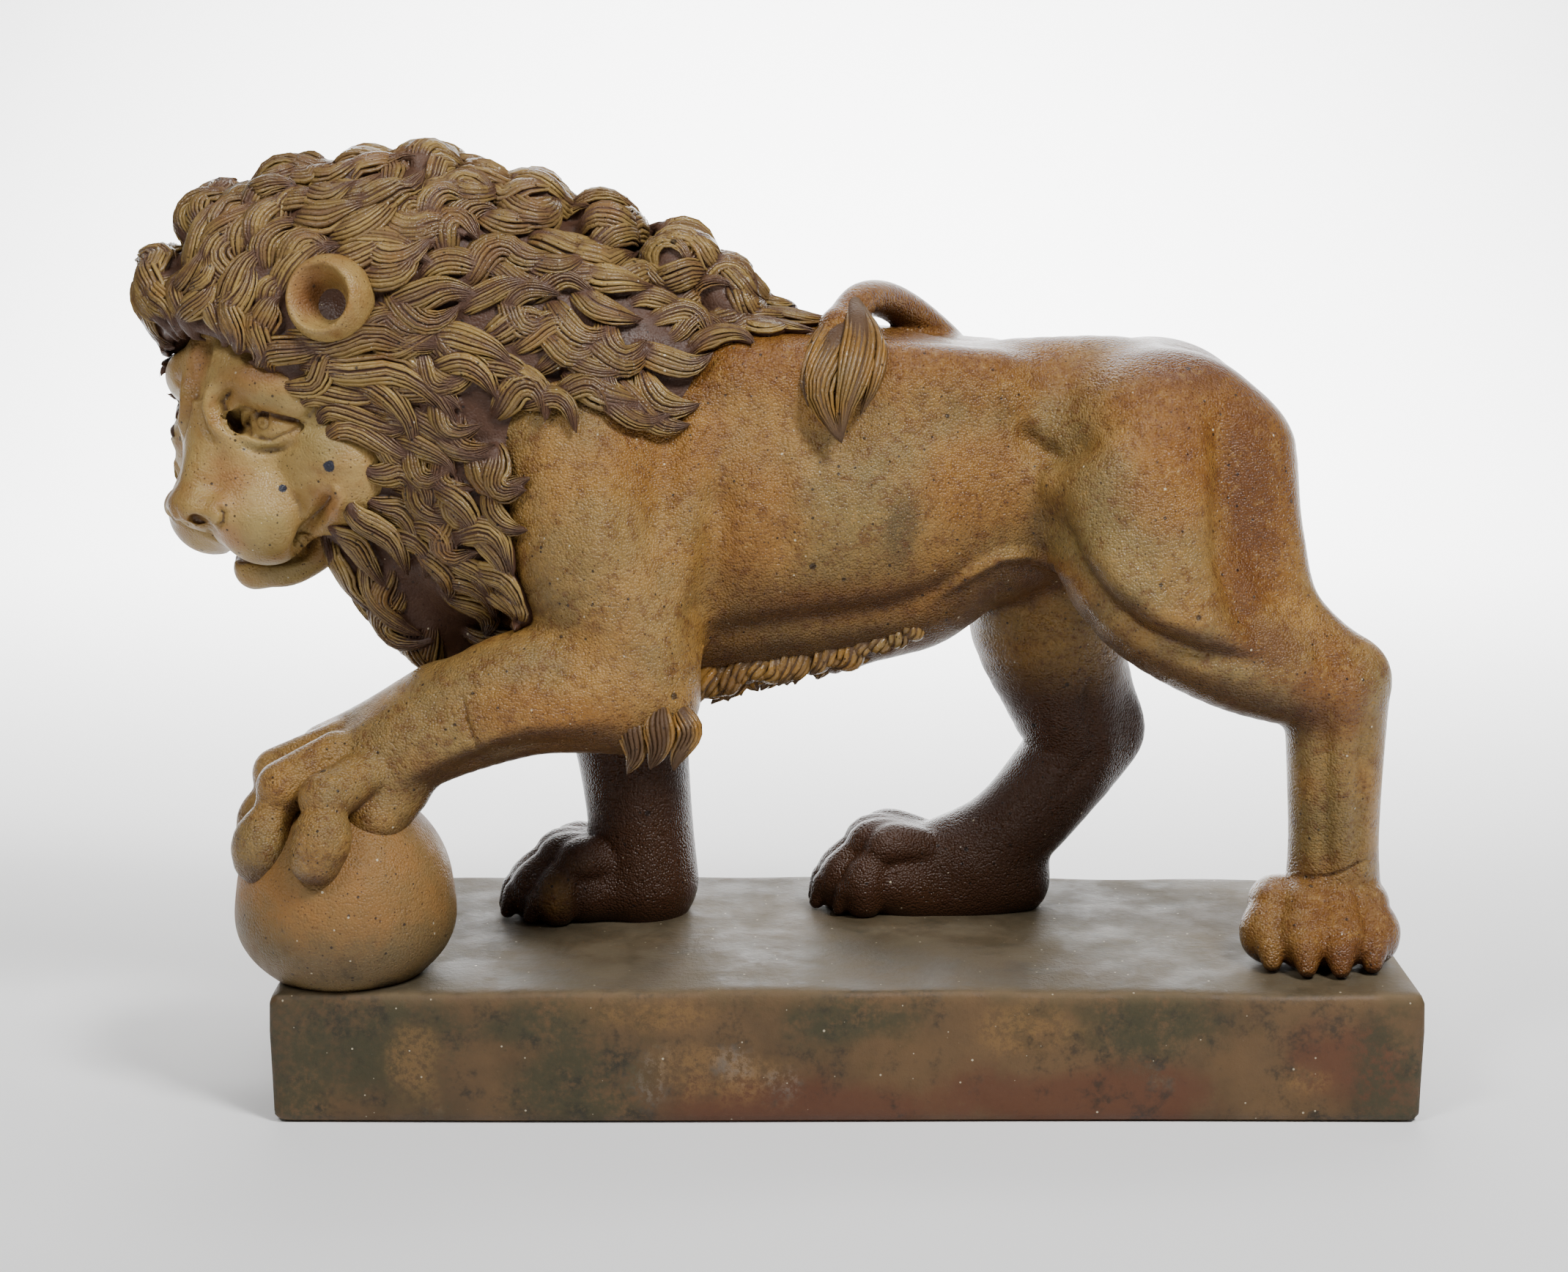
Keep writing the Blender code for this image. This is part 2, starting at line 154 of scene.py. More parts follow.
class ClaySpace:
    """A box of space that holds the distance to the clay's surface, negative inside the clay."""

    def __init__(self, low, high, cell):
        self.cell = cell
        self.low = np.array(low, np.float32)
        counts = np.ceil((np.array(high) - self.low) / cell).astype(int) + 1
        self.axes = [(self.low[i] + cell * np.arange(counts[i])).astype(np.float32) for i in range(3)]
        self.distance = np.full(counts, FAR, np.float32)

    def window(self, low, high):
        """The slices of the space between two corners, and their coordinates."""
        cut = []
        for i in range(3):
            first = int(np.clip(math.floor((low[i] - self.low[i]) / self.cell), 0, len(self.axes[i])))
            last = int(np.clip(math.ceil((high[i] - self.low[i]) / self.cell) + 1, first, len(self.axes[i])))
            cut.append(slice(first, last))
        return tuple(cut), np.ix_(*(axis[c] for axis, c in zip(self.axes, cut)))

    def press(self, cut, near, blend, carve=False):
        """Adds a shape's distances to the clay, or carves it out."""
        here = self.distance[cut]
        here[...] = -smooth_min(-here, near, blend) if carve else smooth_min(here, near, blend)

    def lump(self, centre, radii, axes=None, blend=1.5, carve=False):
        """One ellipsoid. axes are its own directions, as columns."""
        centre = np.array(centre, np.float32)
        radii = np.array(radii, np.float32)
        turn = np.identity(3) if axes is None else np.array(axes)
        reach = np.sqrt(((turn * radii) ** 2).sum(axis=1)) + blend + 2 * self.cell
        cut, (x, y, z) = self.window(centre - reach, centre + reach)
        x, y, z = x - centre[0], y - centre[1], z - centre[2]
        local = [x * a[0] + y * a[1] + z * a[2] for a in turn.T.astype(np.float32)]
        k0 = np.sqrt(sum((l / r) ** 2 for l, r in zip(local, radii)))
        k1 = np.sqrt(sum((l / r**2) ** 2 for l, r in zip(local, radii))) + 1e-6
        self.press(cut, k0 * (k0 - 1) / k1, blend, carve)

    def limb(self, *stations, flat=1.0, blend=1.5, carve=False, step=0.3):
        """A smooth tapering run through stations of (x, y, z, radius). flat narrows it across the lion."""
        path = smooth_path(stations, step)
        margin = blend + 2 * self.cell
        low = (path[:, :3] - path[:, 3:]).min(axis=0) - margin
        high = (path[:, :3] + path[:, 3:]).max(axis=0) + margin
        cut, (x, y, z) = self.window(low, high)
        near = np.full(np.broadcast_shapes(x.shape, y.shape, z.shape), FAR + margin, np.float32)
        corner = [c.start for c in cut]
        for start, end in zip(path, path[1:]):
            reach = max(start[3], end[3]) + margin
            part, _ = self.window(np.minimum(start, end)[:3] - reach, np.maximum(start, end)[:3] + reach)
            inner = tuple(slice(c.start - o, c.stop - o) for c, o in zip(part, corner))
            inner = tuple(slice(max(0, c.start), max(0, min(c.stop, n))) for c, n in zip(inner, near.shape))
            part = tuple(slice(c.start + o, c.stop + o) for c, o in zip(inner, corner))
            x, y, z = np.ix_(*(axis[c] for axis, c in zip(self.axes, part)))
            run = (end - start)[:3].astype(np.float32)
            dx, dy, dz = x - start[0], (y - start[1]) / flat, z - start[2]
            run_flat = run / np.array((1, flat, 1), np.float32)
            rx, ry, rz = run_flat
            t = np.clip((dx * rx + dy * ry + dz * rz) / (run_flat @ run_flat + 1e-9), 0, 1)
            gap = np.sqrt((dx - t * rx) ** 2 + (dy - t * ry) ** 2 + (dz - t * rz) ** 2)
            near[inner] = np.minimum(near[inner], gap - (start[3] + t * (end[3] - start[3])))
        self.press(cut, near, blend, carve)

    def head_lump(self, centre, radii, **how):
        """An ellipsoid along the head's own axes."""
        self.lump(on_head(*centre), radii, HEAD_AXES, **how)

    def head_limb(self, *stations, **how):
        """A limb whose stations are in the head's frame."""
        self.limb(*((*on_head(*s[:3]), s[3]) for s in stations), **how)

    def head_pair(self, centre, radii, **how):
        """The same lump on both sides of the face."""
        for side in (1, -1):
            self.head_lump((side * centre[0], *centre[1:]), radii, **how)

    def head_limb_pair(self, *stations, **how):
        """The same limb on both sides of the face."""
        for side in (1, -1):
            self.head_limb(*((side * s[0], *s[1:]) for s in stations), **how)

    def at(self, points):
        """The distance at grid points, between the cells by linear shares."""
        place = (np.asarray(points) - self.low) / self.cell
        base = np.clip(np.floor(place).astype(int), 0, np.array(self.distance.shape) - 2)
        share = np.clip(place - base, 0, 1)
        total = 0
        for corner in np.ndindex(2, 2, 2):
            weight = np.prod(np.where(corner, share, 1 - share), axis=1)
            total = total + weight * self.distance[tuple((base + corner).T)]
        return total

    def skin(self):
        """The clay's surface as grid points and four-sided faces."""
        grid = openvdb.FloatGrid(FAR)
        grid.copyFromArray(self.distance)
        points, quads = grid.convertToQuads(0.0)
        return points * self.cell + self.low, quads


def neighbour_means(quads, count):
    """A function that gives the mean over each point's neighbours, for count points."""
    a, b = quads.ravel(), np.roll(quads, -1, axis=1).ravel()
    shares = np.bincount(a, minlength=count) + np.bincount(b, minlength=count)

    def means(points):
        total = np.zeros_like(points)
        for axis in range(3):
            total[:, axis] = np.bincount(a, points[b, axis], count) + np.bincount(b, points[a, axis], count)
        return total / shares[:, None]

    return means


def relaxed(points, quads):
    """Points eased towards the middle of their neighbours and back, which takes the grid's terraces off."""
    means = neighbour_means(quads, len(points))
    for strength in (0.5, -0.52, 0.5, -0.52):
        points = points + strength * (means(points) - points)
    return points


def normals_of(points, quads):
    """A unit normal at each point."""
    across = np.cross(points[quads[:, 2]] - points[quads[:, 0]], points[quads[:, 3]] - points[quads[:, 1]])
    total = np.zeros_like(points)
    for corner in range(4):
        for axis in range(3):
            total[:, axis] += np.bincount(quads[:, corner], across[:, axis], len(points))
    return total / (np.linalg.norm(total, axis=1, keepdims=True) + 1e-9)


def hollowness(points, quads):
    """How far each point lies below its surroundings, along its normal, in grid units."""
    means = neighbour_means(quads, len(points))
    eased = points
    for _ in range(6):
        eased = 0.3 * eased + 0.7 * means(eased)
    return ((eased - points) * normals_of(points, quads)).sum(axis=1)


class Skin:
    """A modelled surface that strokes of the tool raise or press in."""

    def __init__(self, space):
        points, self.quads = space.skin()
        self.points = relaxed(points.astype(float), self.quads)
        self.normals = normals_of(self.points, self.quads)
        inside = np.mean(space.at(self.points[::50] - 0.4 * self.normals[::50]))
        if inside > 0:
            self.quads = self.quads[:, ::-1]
            self.normals = -self.normals

    def stroke(self, path, width, height, chosen=None, ends=True, places=None):
        """One stroke along a path of grid points. A negative height presses a groove."""
        path = np.array(path, float)
        flat = ~np.isnan(path[0])
        places = (self.points if places is None else places)[:, flat]
        path = path[:, flat]
        low, high = path.min(axis=0) - 3 * width, path.max(axis=0) + 3 * width
        near = np.all((places > low) & (places < high), axis=1)
        if chosen is not None:
            near &= chosen
        index = np.flatnonzero(near)
        places = places[index]
        best = np.full(len(index), np.inf)
        along = np.zeros(len(index))
        for i, (start, end) in enumerate(zip(path, path[1:])):
            run = end - start
            t = np.clip((places - start) @ run / (run @ run), 0, 1)
            gap = np.linalg.norm(places - start - t[:, None] * run, axis=1)
            closer = gap < best
            best[closer] = gap[closer]
            along[closer] = (i + t[closer]) / (len(path) - 1)
        fade = np.clip(4 * np.minimum(along, 1 - along) + 0.25, 0, 1) if ends else 1.0
        push = height * fade * np.exp(-((best / width) ** 2))
        self.points[index] += push[:, None] * self.normals[index]

    def side_stroke(self, path, width, height, side=-1, low_y=-99):
        """A stroke laid on the lion's side through (x, z) points. side is -1 for its left."""
        chosen = (self.normals[:, 1] * side > 0.1) & (self.points[:, 1] > low_y)
        self.stroke([(x, np.nan, z) for x, z in path], width, height, chosen)

    def face_strokes(self, strokes):
        """Strokes through (x, z) points of the head's near side, the same on its far side."""
        places, facing = (self.points - BETWEEN_BROWS) @ HEAD_AXES, self.normals @ HEAD_AXES
        facing[:, 0] *= np.where(places[:, 0] < 0, -1, 1)
        places[:, 0] = np.abs(places[:, 0])
        places = places @ HEAD_AXES.T + BETWEEN_BROWS
        chosen = (facing @ HEAD_AXES.T)[:, 1] < 0.15
        for path, width, height, ends in strokes:
            self.stroke([(x, np.nan, z) for x, z in path], width, height, chosen, ends, places)

    def refresh(self):
        """Works the normals out again after a set of strokes."""
        self.normals = normals_of(self.points, self.quads)


def new_object(name, data):
    """An object of the scene that shows a mesh, a light or a camera."""
    shown = bpy.data.objects.new(name, data)
    bpy.context.collection.objects.link(shown)
    return shown


def points_mesh(name, points):
    """A mesh of grid points, without faces."""
    mesh = bpy.data.meshes.new(name)
    mesh.vertices.add(len(points))
    mesh.vertices.foreach_set("co", in_metres(points).astype(np.float32).ravel())
    return mesh


def new_piece(name, points, quads, material):
    """A mesh object whose points are on the grid."""
    mesh = points_mesh(name, points)
    mesh.loops.add(quads.size)
    mesh.loops.foreach_set("vertex_index", quads.astype(np.int32).ravel())
    mesh.polygons.add(len(quads))
    mesh.polygons.foreach_set("loop_start", np.arange(0, quads.size, 4, dtype=np.int32))
    mesh.update(calc_edges=True)
    mesh.materials.append(material)
    return new_object(name, mesh)


def keep_attribute(piece, label, values):
    """Stores one number at each point of a piece."""
    layer = piece.data.attributes.get(label) or piece.data.attributes.new(label, "FLOAT", "POINT")
    layer.data.foreach_set("value", np.asarray(values, np.float32))


def grid_points(piece):
    """A piece's points on the figure's grid."""
    flat = np.empty(3 * len(piece.data.vertices), np.float32)
    piece.data.vertices.foreach_get("co", flat)
    return (flat.reshape(-1, 3) - GRID_ORIGIN) / UNIT


def applied(piece):
    """Turns a piece's modifiers into its mesh."""
    graph = bpy.context.evaluated_depsgraph_get()
    mesh = bpy.data.meshes.new_from_object(piece.evaluated_get(graph))
    old = piece.data
    piece.modifiers.clear()
    piece.data = mesh
    mesh.name = old.name
    bpy.data.meshes.remove(old)


def thinned(piece, triangles):
    """Brings a dense piece down to its share of triangles, keeping more where it curves."""
    count = 2 * len(piece.data.polygons)
    if count > triangles:
        facets = piece.modifiers.new("thinned", "DECIMATE")
        facets.ratio = triangles / count
        applied(piece)
    piece.data.shade_smooth()


def trunk(clay):
    """Ribs, loin and rump."""
    clay.limb(
        (-36, 0, 47, 13), (-25, 0, 46.3, 17), (-12, 0, 45.6, 17.7), (0, 0, 46.0, 16.6),
        (11, 0, 47.2, 13.6), (20, 0, 49.2, 12.0), (28, 0, 49.8, 11.2), (34, 0, 47.5, 10.0),
        flat=0.76, blend=3, step=0.2,
    )
    clay.limb((6, 0, 37, 7), (-6, 0, 34.5, 7), (-18, 0, 33, 7.5), (-30, 0, 34, 8), flat=0.9, blend=4)
    for side in (1, -1):
        clay.limb(
            (-10, side * 8, 58, 3.5), (2, side * 7.5, 58, 3.5), (14, side * 6, 57, 3.2), flat=0.9, blend=4
        )
    rng = np.random.default_rng(3)
    for x in np.arange(-17.5, 6.5, 1.1):
        z = np.interp(x, (-17.5, -10, 0, 6.5), (27.4, 28.6, 30.2, 32.4))
        lump = (x, rng.uniform(-3.0, -0.5), z - rng.uniform(0.2, 1.2))
        clay.lump(lump, (rng.uniform(0.8, 1.5), 3.0, rng.uniform(1.0, 1.8)), blend=0.7)


def foot(clay, heel, heading, reach, width, height):
    """A paw flat on the ground. heading is in degrees from straight ahead towards the lion's left."""
    ahead, across = heading_axes(heading)
    up = np.array((0, 0, 1.0))
    base = np.array((*heel, 0.0))
    radius = 0.185 * width
    pitch = (width - 2 * radius) / 3
    middle = base + 0.36 * reach * ahead + 0.36 * height * up
    clay.lump(middle, (0.44 * reach, 0.44 * reach, 0.50 * height), blend=1.5)
    for place, forward in ((-1.5, 0.82), (-0.5, 1.0), (0.5, 1.0), (1.5, 0.82)):
        root = base + 0.55 * place * pitch * across + (0.92 * height - radius) * up
        tip = base + place * pitch * across + (forward * reach - radius) * ahead
        knuckle = root + 0.62 * (tip - root)
        knuckle[2] = height - 0.95 * radius
        clay.limb(
            (*root, 0.84 * radius), (*knuckle, 1.04 * radius),
            (*(0.55 * tip + 0.45 * knuckle)[:2], 0.64 * height, 0.78 * radius),
            (*tip[:2], 0.38 * height, 1.06 * radius), (*tip[:2], 0.85 * radius, 0.96 * radius),
            blend=0.4,
        )
        claw = tip + 0.75 * radius * ahead
        point = claw + 0.42 * radius * ahead
        clay.limb(
            (*claw[:2], 0.30 * height, 0.62 * radius), (*point[:2], 0.10 * height, 0.34 * radius), blend=0.35
        )


def standing_foreleg(clay):
    """The right foreleg, under the body."""
    clay.limb(
        (-25, 8, 46, 9), (-24.5, 8.5, 36, 8.4), (-23.2, 8, 27, 7.0), (-22.0, 7.5, 18, 5.9),
        (-21.2, 7.2, 10, 5.5), (-21.0, 7.2, 3.5, 5.9), blend=3,
    )
    foot(clay, (-22.5, 7.2), 8, 12.4, 12.6, 8.8)


def raised_foreleg(clay):
    """The left foreleg, bent at the elbow, its paw over the ball."""
    clay.limb(
        (-27, -7.6, 52, 8.5), (-25, -9.4, 43, 8.8), (-22, -11.4, 34, 7.2), (-20.3, -12.5, 27.5, 5.2),
        blend=4,
    )
    clay.limb((-19.8, -12.6, 28.5, 4.4), (-17.5, -12.0, 36, 3.0), (-15.5, -11.4, 43, 2.4), blend=3)
    clay.limb(
        (-19.5, -12.8, 27, 4.6), (-23.5, -13.2, 28.0, 6.0), (-31, -13.6, 28.0, 6.2), (-39.5, -14, 24.6, 5.2),
        (-47.0, -14.2, 20.2, 4.4), (-50, -14.4, 18.4, 4.2), blend=2,
    )
    clay.limb((-40, -12, 27.0, 3.4), (-47, -10.5, 23.2, 3.0), (-51.5, -9.0, 21.2, 2.6), blend=2)
    clay.limb((-44, -15, 19.0, 3.6), (-45.8, -16.5, 16.6, 3.3), blend=1.2)
    toes = (
        ((-46.4, -18.0, 21.0), (-49.8, -20.8, 19.2), (-50.0, -22.4, 15.8), (-50.6, -22.6, 13.6), 2.35, 2.85),
        ((-49.4, -15.6, 22.4), (-54.4, -17.2, 19.4), (-56.4, -18.4, 14.2), (-56.8, -18.2, 12.6), 2.35, 2.9),
        ((-49.8, -12.0, 22.6), (-55.8, -11.4, 19.4), (-57.4, -11.2, 14.6), (-57.6, -11.0, 12.8), 2.3, 2.7),
        ((-48.4, -9.0, 22.0), (-53.6, -6.2, 19.0), (-55.0, -5.0, 14.2), (-55.2, -4.8, 12.2), 2.2, 2.5),
    )
    for root, knuckle, ball_of_toe, tip, slim, full in toes:
        neck = 0.5 * (np.array(knuckle) + np.array(ball_of_toe))
        clay.limb((*root, 0.92 * slim), (*knuckle, 1.12 * slim), blend=0.6)
        clay.limb(
            (*knuckle, slim), (*neck, 0.86 * slim), (*ball_of_toe, full), (*tip, 0.88 * full), blend=0.3
        )


def near_hind_leg(clay):
    """The left hind leg, stretched back, its paw turned out."""
    clay.lump((32, -6.2, 49.5), (10.6, 7.0, 10.8), blend=4)
    clay.limb(
        (30, -6.6, 50, 9), (29, -8.5, 44.5, 9.5), (31, -10.0, 38.5, 8.5), (38, -10.5, 32, 6.3),
        (46.5, -10.0, 28.3, 5.0),
        blend=3,
    )
    clay.limb(
        (38.5, -6, 50, 5.5), (40.6, -8, 42, 4.3), (43.2, -9.0, 35.6, 3.3), (47.8, -9.5, 30.2, 3.1),
        blend=2.5,
    )
    clay.limb(
        (48.3, -9.5, 27.5, 5.2), (48.5, -9.0, 19, 4.7), (48.9, -7.5, 11, 4.5), (49.2, -6.5, 5, 4.9),
        blend=1.5,
    )
    clay.lump((50.6, -9.5, 29.0), (2.6, 2.8, 2.8), blend=1.5)
    foot(clay, (47.6, -5.6), 86, 9.8, 15.6, 8.0)


def far_hind_leg(clay):
    """The right hind leg, stepping forward."""
    clay.lump((32, 6.2, 49.5), (10.6, 7.0, 10.8), blend=4)
    clay.limb(
        (30, 6.0, 50, 9), (26, 8, 42, 9.5), (21.5, 8.5, 33, 8.6), (23.2, 8.7, 24, 6.6), (24.6, 8.9, 18, 5.4),
        (21.0, 9, 12.0, 5.0), (16.5, 9, 7.5, 4.8), (10, 9, 5, 4.2), blend=3,
    )
    clay.limb((27, 8.9, 24, 3.2), (29.0, 8.9, 18.8, 2.7), (25.6, 8.9, 14.5, 2.6), blend=1.2)
    clay.lump((15, 9, 4), (6.4, 4.5, 4), blend=2)
    clay.limb((18.5, 8.8, 2.6, 3.4), (14, 8.4, 1.8, 3.4), (8, 7.6, 1.8, 3.2), blend=1.5)
    foot(clay, (10.0, 9.2), 3, 12.4, 12.0, 9.6)


# Where the mane's outline bulges along its crest, as (x, z) grid points
CREST_BUMPS = (
    (-67.1, 70.2), (-62.1, 75.6), (-55.0, 78.6), (-48.3, 78.9), (-42.2, 79.8),
    (-36.9, 77.8), (-31.5, 77.0), (-24.8, 74.9), (-17.7, 72.5), (-12.8, 69.1),
)


def ear_axes(heading):
    """The ways out of an ear's opening, across it and up it."""
    ahead, across = heading_axes(heading)
    opening = ahead + np.array((0, 0, 0.1))
    return opening, across, np.cross(opening, across)


def mane_mass(clay):
    """The bulk of the mane under its locks, hollowed out round the face."""
    clay.limb(
        (-54.0, -1, 62.3, 13.6), (-46, 0, 62.6, 15.2), (-37, 0, 60.0, 15.8), (-28, 0, 56.0, 15.6),
        (-18, 0, 53.6, 12.9), (-10, 0, 52.2, 11.0),
        flat=0.86, blend=2,
    )
    clay.limb((-47, 0, 52, 11), (-42, 0, 46, 11), (-39.5, 0, 40, 8.5), (-38, 0, 34.5, 5.5), blend=3)
    clay.limb((-49, -2, 47, 6), (-45.5, -2, 41, 5.5), (-42, -3, 34, 3.8), (-40, -3, 31, 2.6), blend=2)
    for side in (1, -1):
        clay.lump((-35, side * 4, 48), (9, 10.5, 14), blend=3)
    for x, z in CREST_BUMPS:
        clay.lump((x + 0.6, 0, z - 4.4), (3.0, 6.5, 3.6), blend=0.8)
    clay.head_lump((0, -2, 3.8), (12.9, 12.5, 11.4), blend=1.2, carve=True)
    for centre, heading in EARS:
        opening, _, _ = ear_axes(heading)
        clay.lump(np.array(centre) + 1.4 * opening, (3.9, 3.9, 3.9), blend=0.3, carve=True)


def head(clay):
    """Skull, brows, eyes, muzzle, lips and jaw."""
    clay.head_lump((0, -9.5, -3), (9.0, 9.0, 9.5), blend=2)
    clay.head_lump((0, -13, 3), (8.6, 6.5, 8.5), blend=3)
    clay.head_lump((0, -4.2, -4.8), (6.4, 4.4, 4.6), blend=2)
    clay.head_pair((8.0, -10.6, 1.0), (3.8, 4.9, 5.0), blend=2.5)
    clay.head_pair((9.6, -12.0, 3.0), (5.8, 5.5, 6.6), blend=2.5)
    clay.head_limb((0, -2.6, -1, 2.7), (0, -3.1, 4, 2.7), (0, -3.2, 8.4, 3.0), blend=2)
    clay.head_limb_pair((2.2, -4.5, 2, 3.0), (2.8, -5.8, 6.0, 3.4), (3.0, -6.4, 9.0, 3.6), blend=2.2)
    clay.head_pair((4.6, -7.6, 9.9), (4.1, 4.5, 4.2), blend=2.4)
    clay.head_pair((7.0, -11.0, 6.8), (2.6, 3.6, 3.6), blend=2.4)
    clay.head_lump((0, -8.6, 8.6), (4.5, 5.5, 4.0), blend=2)
    clay.head_lump((0, -2.1, 9.7), (3.6, 2.4, 2.1), blend=1.0)
    clay.head_pair((3.6, -2.9, 9.7), (1.5, 1.8, 1.7), blend=0.8)
    clay.head_limb_pair(
        (6.4, -14.2, 6.2, 1.8), (5.8, -14.6, 10.4, 1.8), (3.4, -12.4, 13.8, 1.8), (0, -10.4, 14.6, 2.0),
        blend=0.8,
    )
    clay.head_lump((0, -13.0, 11.5), (5.0, 3.5, 3.0), blend=1)
    clay.head_limb_pair(
        (8.9, -11.6, 5.0, 0.7), (8.2, -11.6, 8.0, 1.1), (6.4, -11.2, 11.8, 1.2), (0, -8.9, 13.6, 0.9),
        blend=0.4, carve=True,
    )
    clay.head_limb_pair(
        (2.4, -1.9, -3.4, 1.6), (5.2, -2.9, -3.4, 2.5), (8.0, -4.7, -3.0, 2.6), (9.9, -7.4, -2.0, 2.2),
        blend=0.8,
    )
    clay.head_limb_pair(
        (0.6, 0.5, -6.4, 0.5), (0.3, 0.5, -3.8, 0.6), (0.2, 0.2, -1.2, 0.3), blend=0.8, carve=True
    )
    clay.head_limb_pair(
        (2.6, -3.4, 2.2, 0.7), (3.2, -3.0, 0.9, 1.1), (5.0, -2.6, 0.6, 1.3), (7.2, -4.2, 0.5, 1.3),
        (9.2, -6.6, 0.2, 0.8), blend=0.4, carve=True,
    )
    clay.head_pair((6.1, -6.5, 0.4), (3.3, 3.0, 2.5), blend=0.15)
    clay.head_limb_pair(
        (9.4, -10.4, 5.9, 0.5), (7.7, -10.6, 8.8, 0.8), (5.6, -10.4, 12.6, 0.9), blend=0.5, carve=True
    )
    clay.head_limb_pair(
        (2.9, -3.9, 0.9, 0.3), (4.2, -3.2, -0.6, 0.5), (6.6, -3.5, -0.9, 0.6), (8.6, -5.8, -0.4, 0.5),
        (9.8, -7.4, 0.1, 0.3), blend=0.25,
    )
    clay.head_limb_pair(
        (2.9, -4.0, 2.0, 0.3), (4.2, -3.9, 2.5, 0.45), (6.4, -4.5, 2.3, 0.5), (8.2, -6.2, 1.4, 0.45),
        (9.4, -7.4, 0.5, 0.3), blend=0.5,
    )
    clay.head_limb_pair(
        (1.9, -1.4, -3.0, 0.9), (1.6, -1.2, -0.6, 1.0), (2.2, -1.9, 1.4, 0.8), (3.2, -2.9, 2.6, 0.5),
        blend=0.6,
    )
    clay.head_pair((2.5, -0.8, 11.2), (1.15, 1.3, 0.75), blend=0.4, carve=True)
    clay.head_limb(
        (0, 0.4, 10.4, 0.25), (0, -1.2, 12.0, 0.4), (0, -3.0, 13.4, 0.5), (0, -5.5, 15.0, 0.5), blend=0.5,
        carve=True,
    )


IRIS_RING = [(-56.7 + 0.75 * math.cos(a), 53.9 + 0.75 * math.sin(a)) for a in np.linspace(0.5, 6.8, 13)]

# Strokes on the face's side view: (x, z) grid points, width, height, and whether the ends fade
FACE_STROKES = (
    ([(-54.0, 47.5), (-53.1, 45.8), (-52.8, 43.9), (-53.1, 41.9), (-53.9, 40.4)], 0.55, -0.5, True),
    ([(-49.9, 47.2), (-50.5, 46.2), (-51.7, 44.2), (-52.7, 42.2), (-53.8, 40.6)], 0.60, -1.3, True),
    ([(-58.8, 55.3), (-57.5, 54.9), (-55.6, 54.6), (-54.0, 54.3), (-52.2, 53.9)], 0.25, -0.4, True),
    ([(-58.6, 53.8), (-57.6, 52.6), (-55.7, 52.2), (-53.7, 53.0), (-52.4, 53.8)], 0.24, -0.3, True),
    ([(-59.2, 52.2), (-57.3, 51.0), (-54.7, 51.2), (-52.6, 52.4)], 0.45, -0.3, True),
    (IRIS_RING, 0.19, -0.30, False),
    ([(-56.8, 53.9), (-56.6, 53.9)], 0.28, -0.30, False),
    ([(-60.6, 58.4), (-61.7, 56.8), (-62.0, 55.2), (-61.4, 53.6), (-60.1, 52.3)], 0.7, 0.5, True),
    ([(-61.7, 58.9), (-62.6, 56.8), (-62.8, 55.2), (-62.3, 53.3), (-61.3, 51.8)], 0.4, -0.5, True),
    ([(-59.5, 57.1), (-60.5, 55.8), (-60.0, 53.9), (-59.2, 52.6)], 0.45, -0.8, True),
    ([(-62.1, 62.2), (-62.1, 60.3), (-62.4, 58.7)], 0.6, -0.4, True),
    ([(-60.8, 45.8), (-60.2, 45.3), (-60.4, 44.2), (-61.3, 43.5)], 0.3, -0.6, True),
    ([(-63.3, 44.2), (-62.2, 43.4)], 0.6, -0.8, False),
    ([(-66.8, 45.5), (-65.9, 44.5), (-64.6, 43.9), (-63.5, 43.2)], 0.3, -0.35, True),
    ([(-62.6, 42.9), (-62.3, 41.9), (-62.2, 40.9)], 0.3, -0.4, True),
    ([(-60.3, 51.3), (-61.1, 49.1), (-61.4, 47.1)], 1.0, -0.25, True),
    ([(-51.1, 53.6), (-49.6, 51.3), (-49.6, 49.1)], 2.2, 0.5, True),
    ([(-51.3, 56.8), (-51.2, 55.2), (-52.1, 54.1)], 0.5, -0.5, True),
    ([(-49.4, 48.1), (-48.7, 46.8), (-49.3, 45.5)], 0.5, 0.5, True),
)


def face_strokes(skin):
    """Lids, irises, folds, nostrils and lips cut and raised on the face."""
    skin.face_strokes(FACE_STROKES)
    skin.refresh()


def ear(clay, centre, heading):
    """A cupped round ear. heading is in degrees from straight ahead towards the lion's left."""
    opening, across, up = ear_axes(heading)
    axes = np.column_stack((opening, across, up))
    centre = np.array(centre)
    clay.lump(centre - 1.7 * opening, (4.0, 4.3, 4.3), axes=axes, blend=0.6)
    clay.lump(centre + 1.8 * opening + 0.3 * up, (3.1, 3.4, 3.3), axes=axes, blend=0.6, carve=True)
    clay.lump(centre - 0.5 * opening - 0.3 * up, (2.4, 2.1, 2.1), axes=axes, blend=1.0, carve=True)
    clay.lump(centre - 2.6 * opening - 0.8 * up, (2.0, 1.0, 1.1), axes=axes, blend=0.4, carve=True)


def ears(clay):
    """Both ears."""
    for centre, heading in EARS:
        ear(clay, centre, heading)


def ball(clay):
    """The ball under the raised paw, a little slumped on the plinth."""
    clay.lump((-49.3, -13.0, 7.9), (10.6, 10.6, 10.6), blend=0.5)
    clay.lump((-49.3, -13.0, 5.0), (10.4, 10.4, 6.2), blend=2)


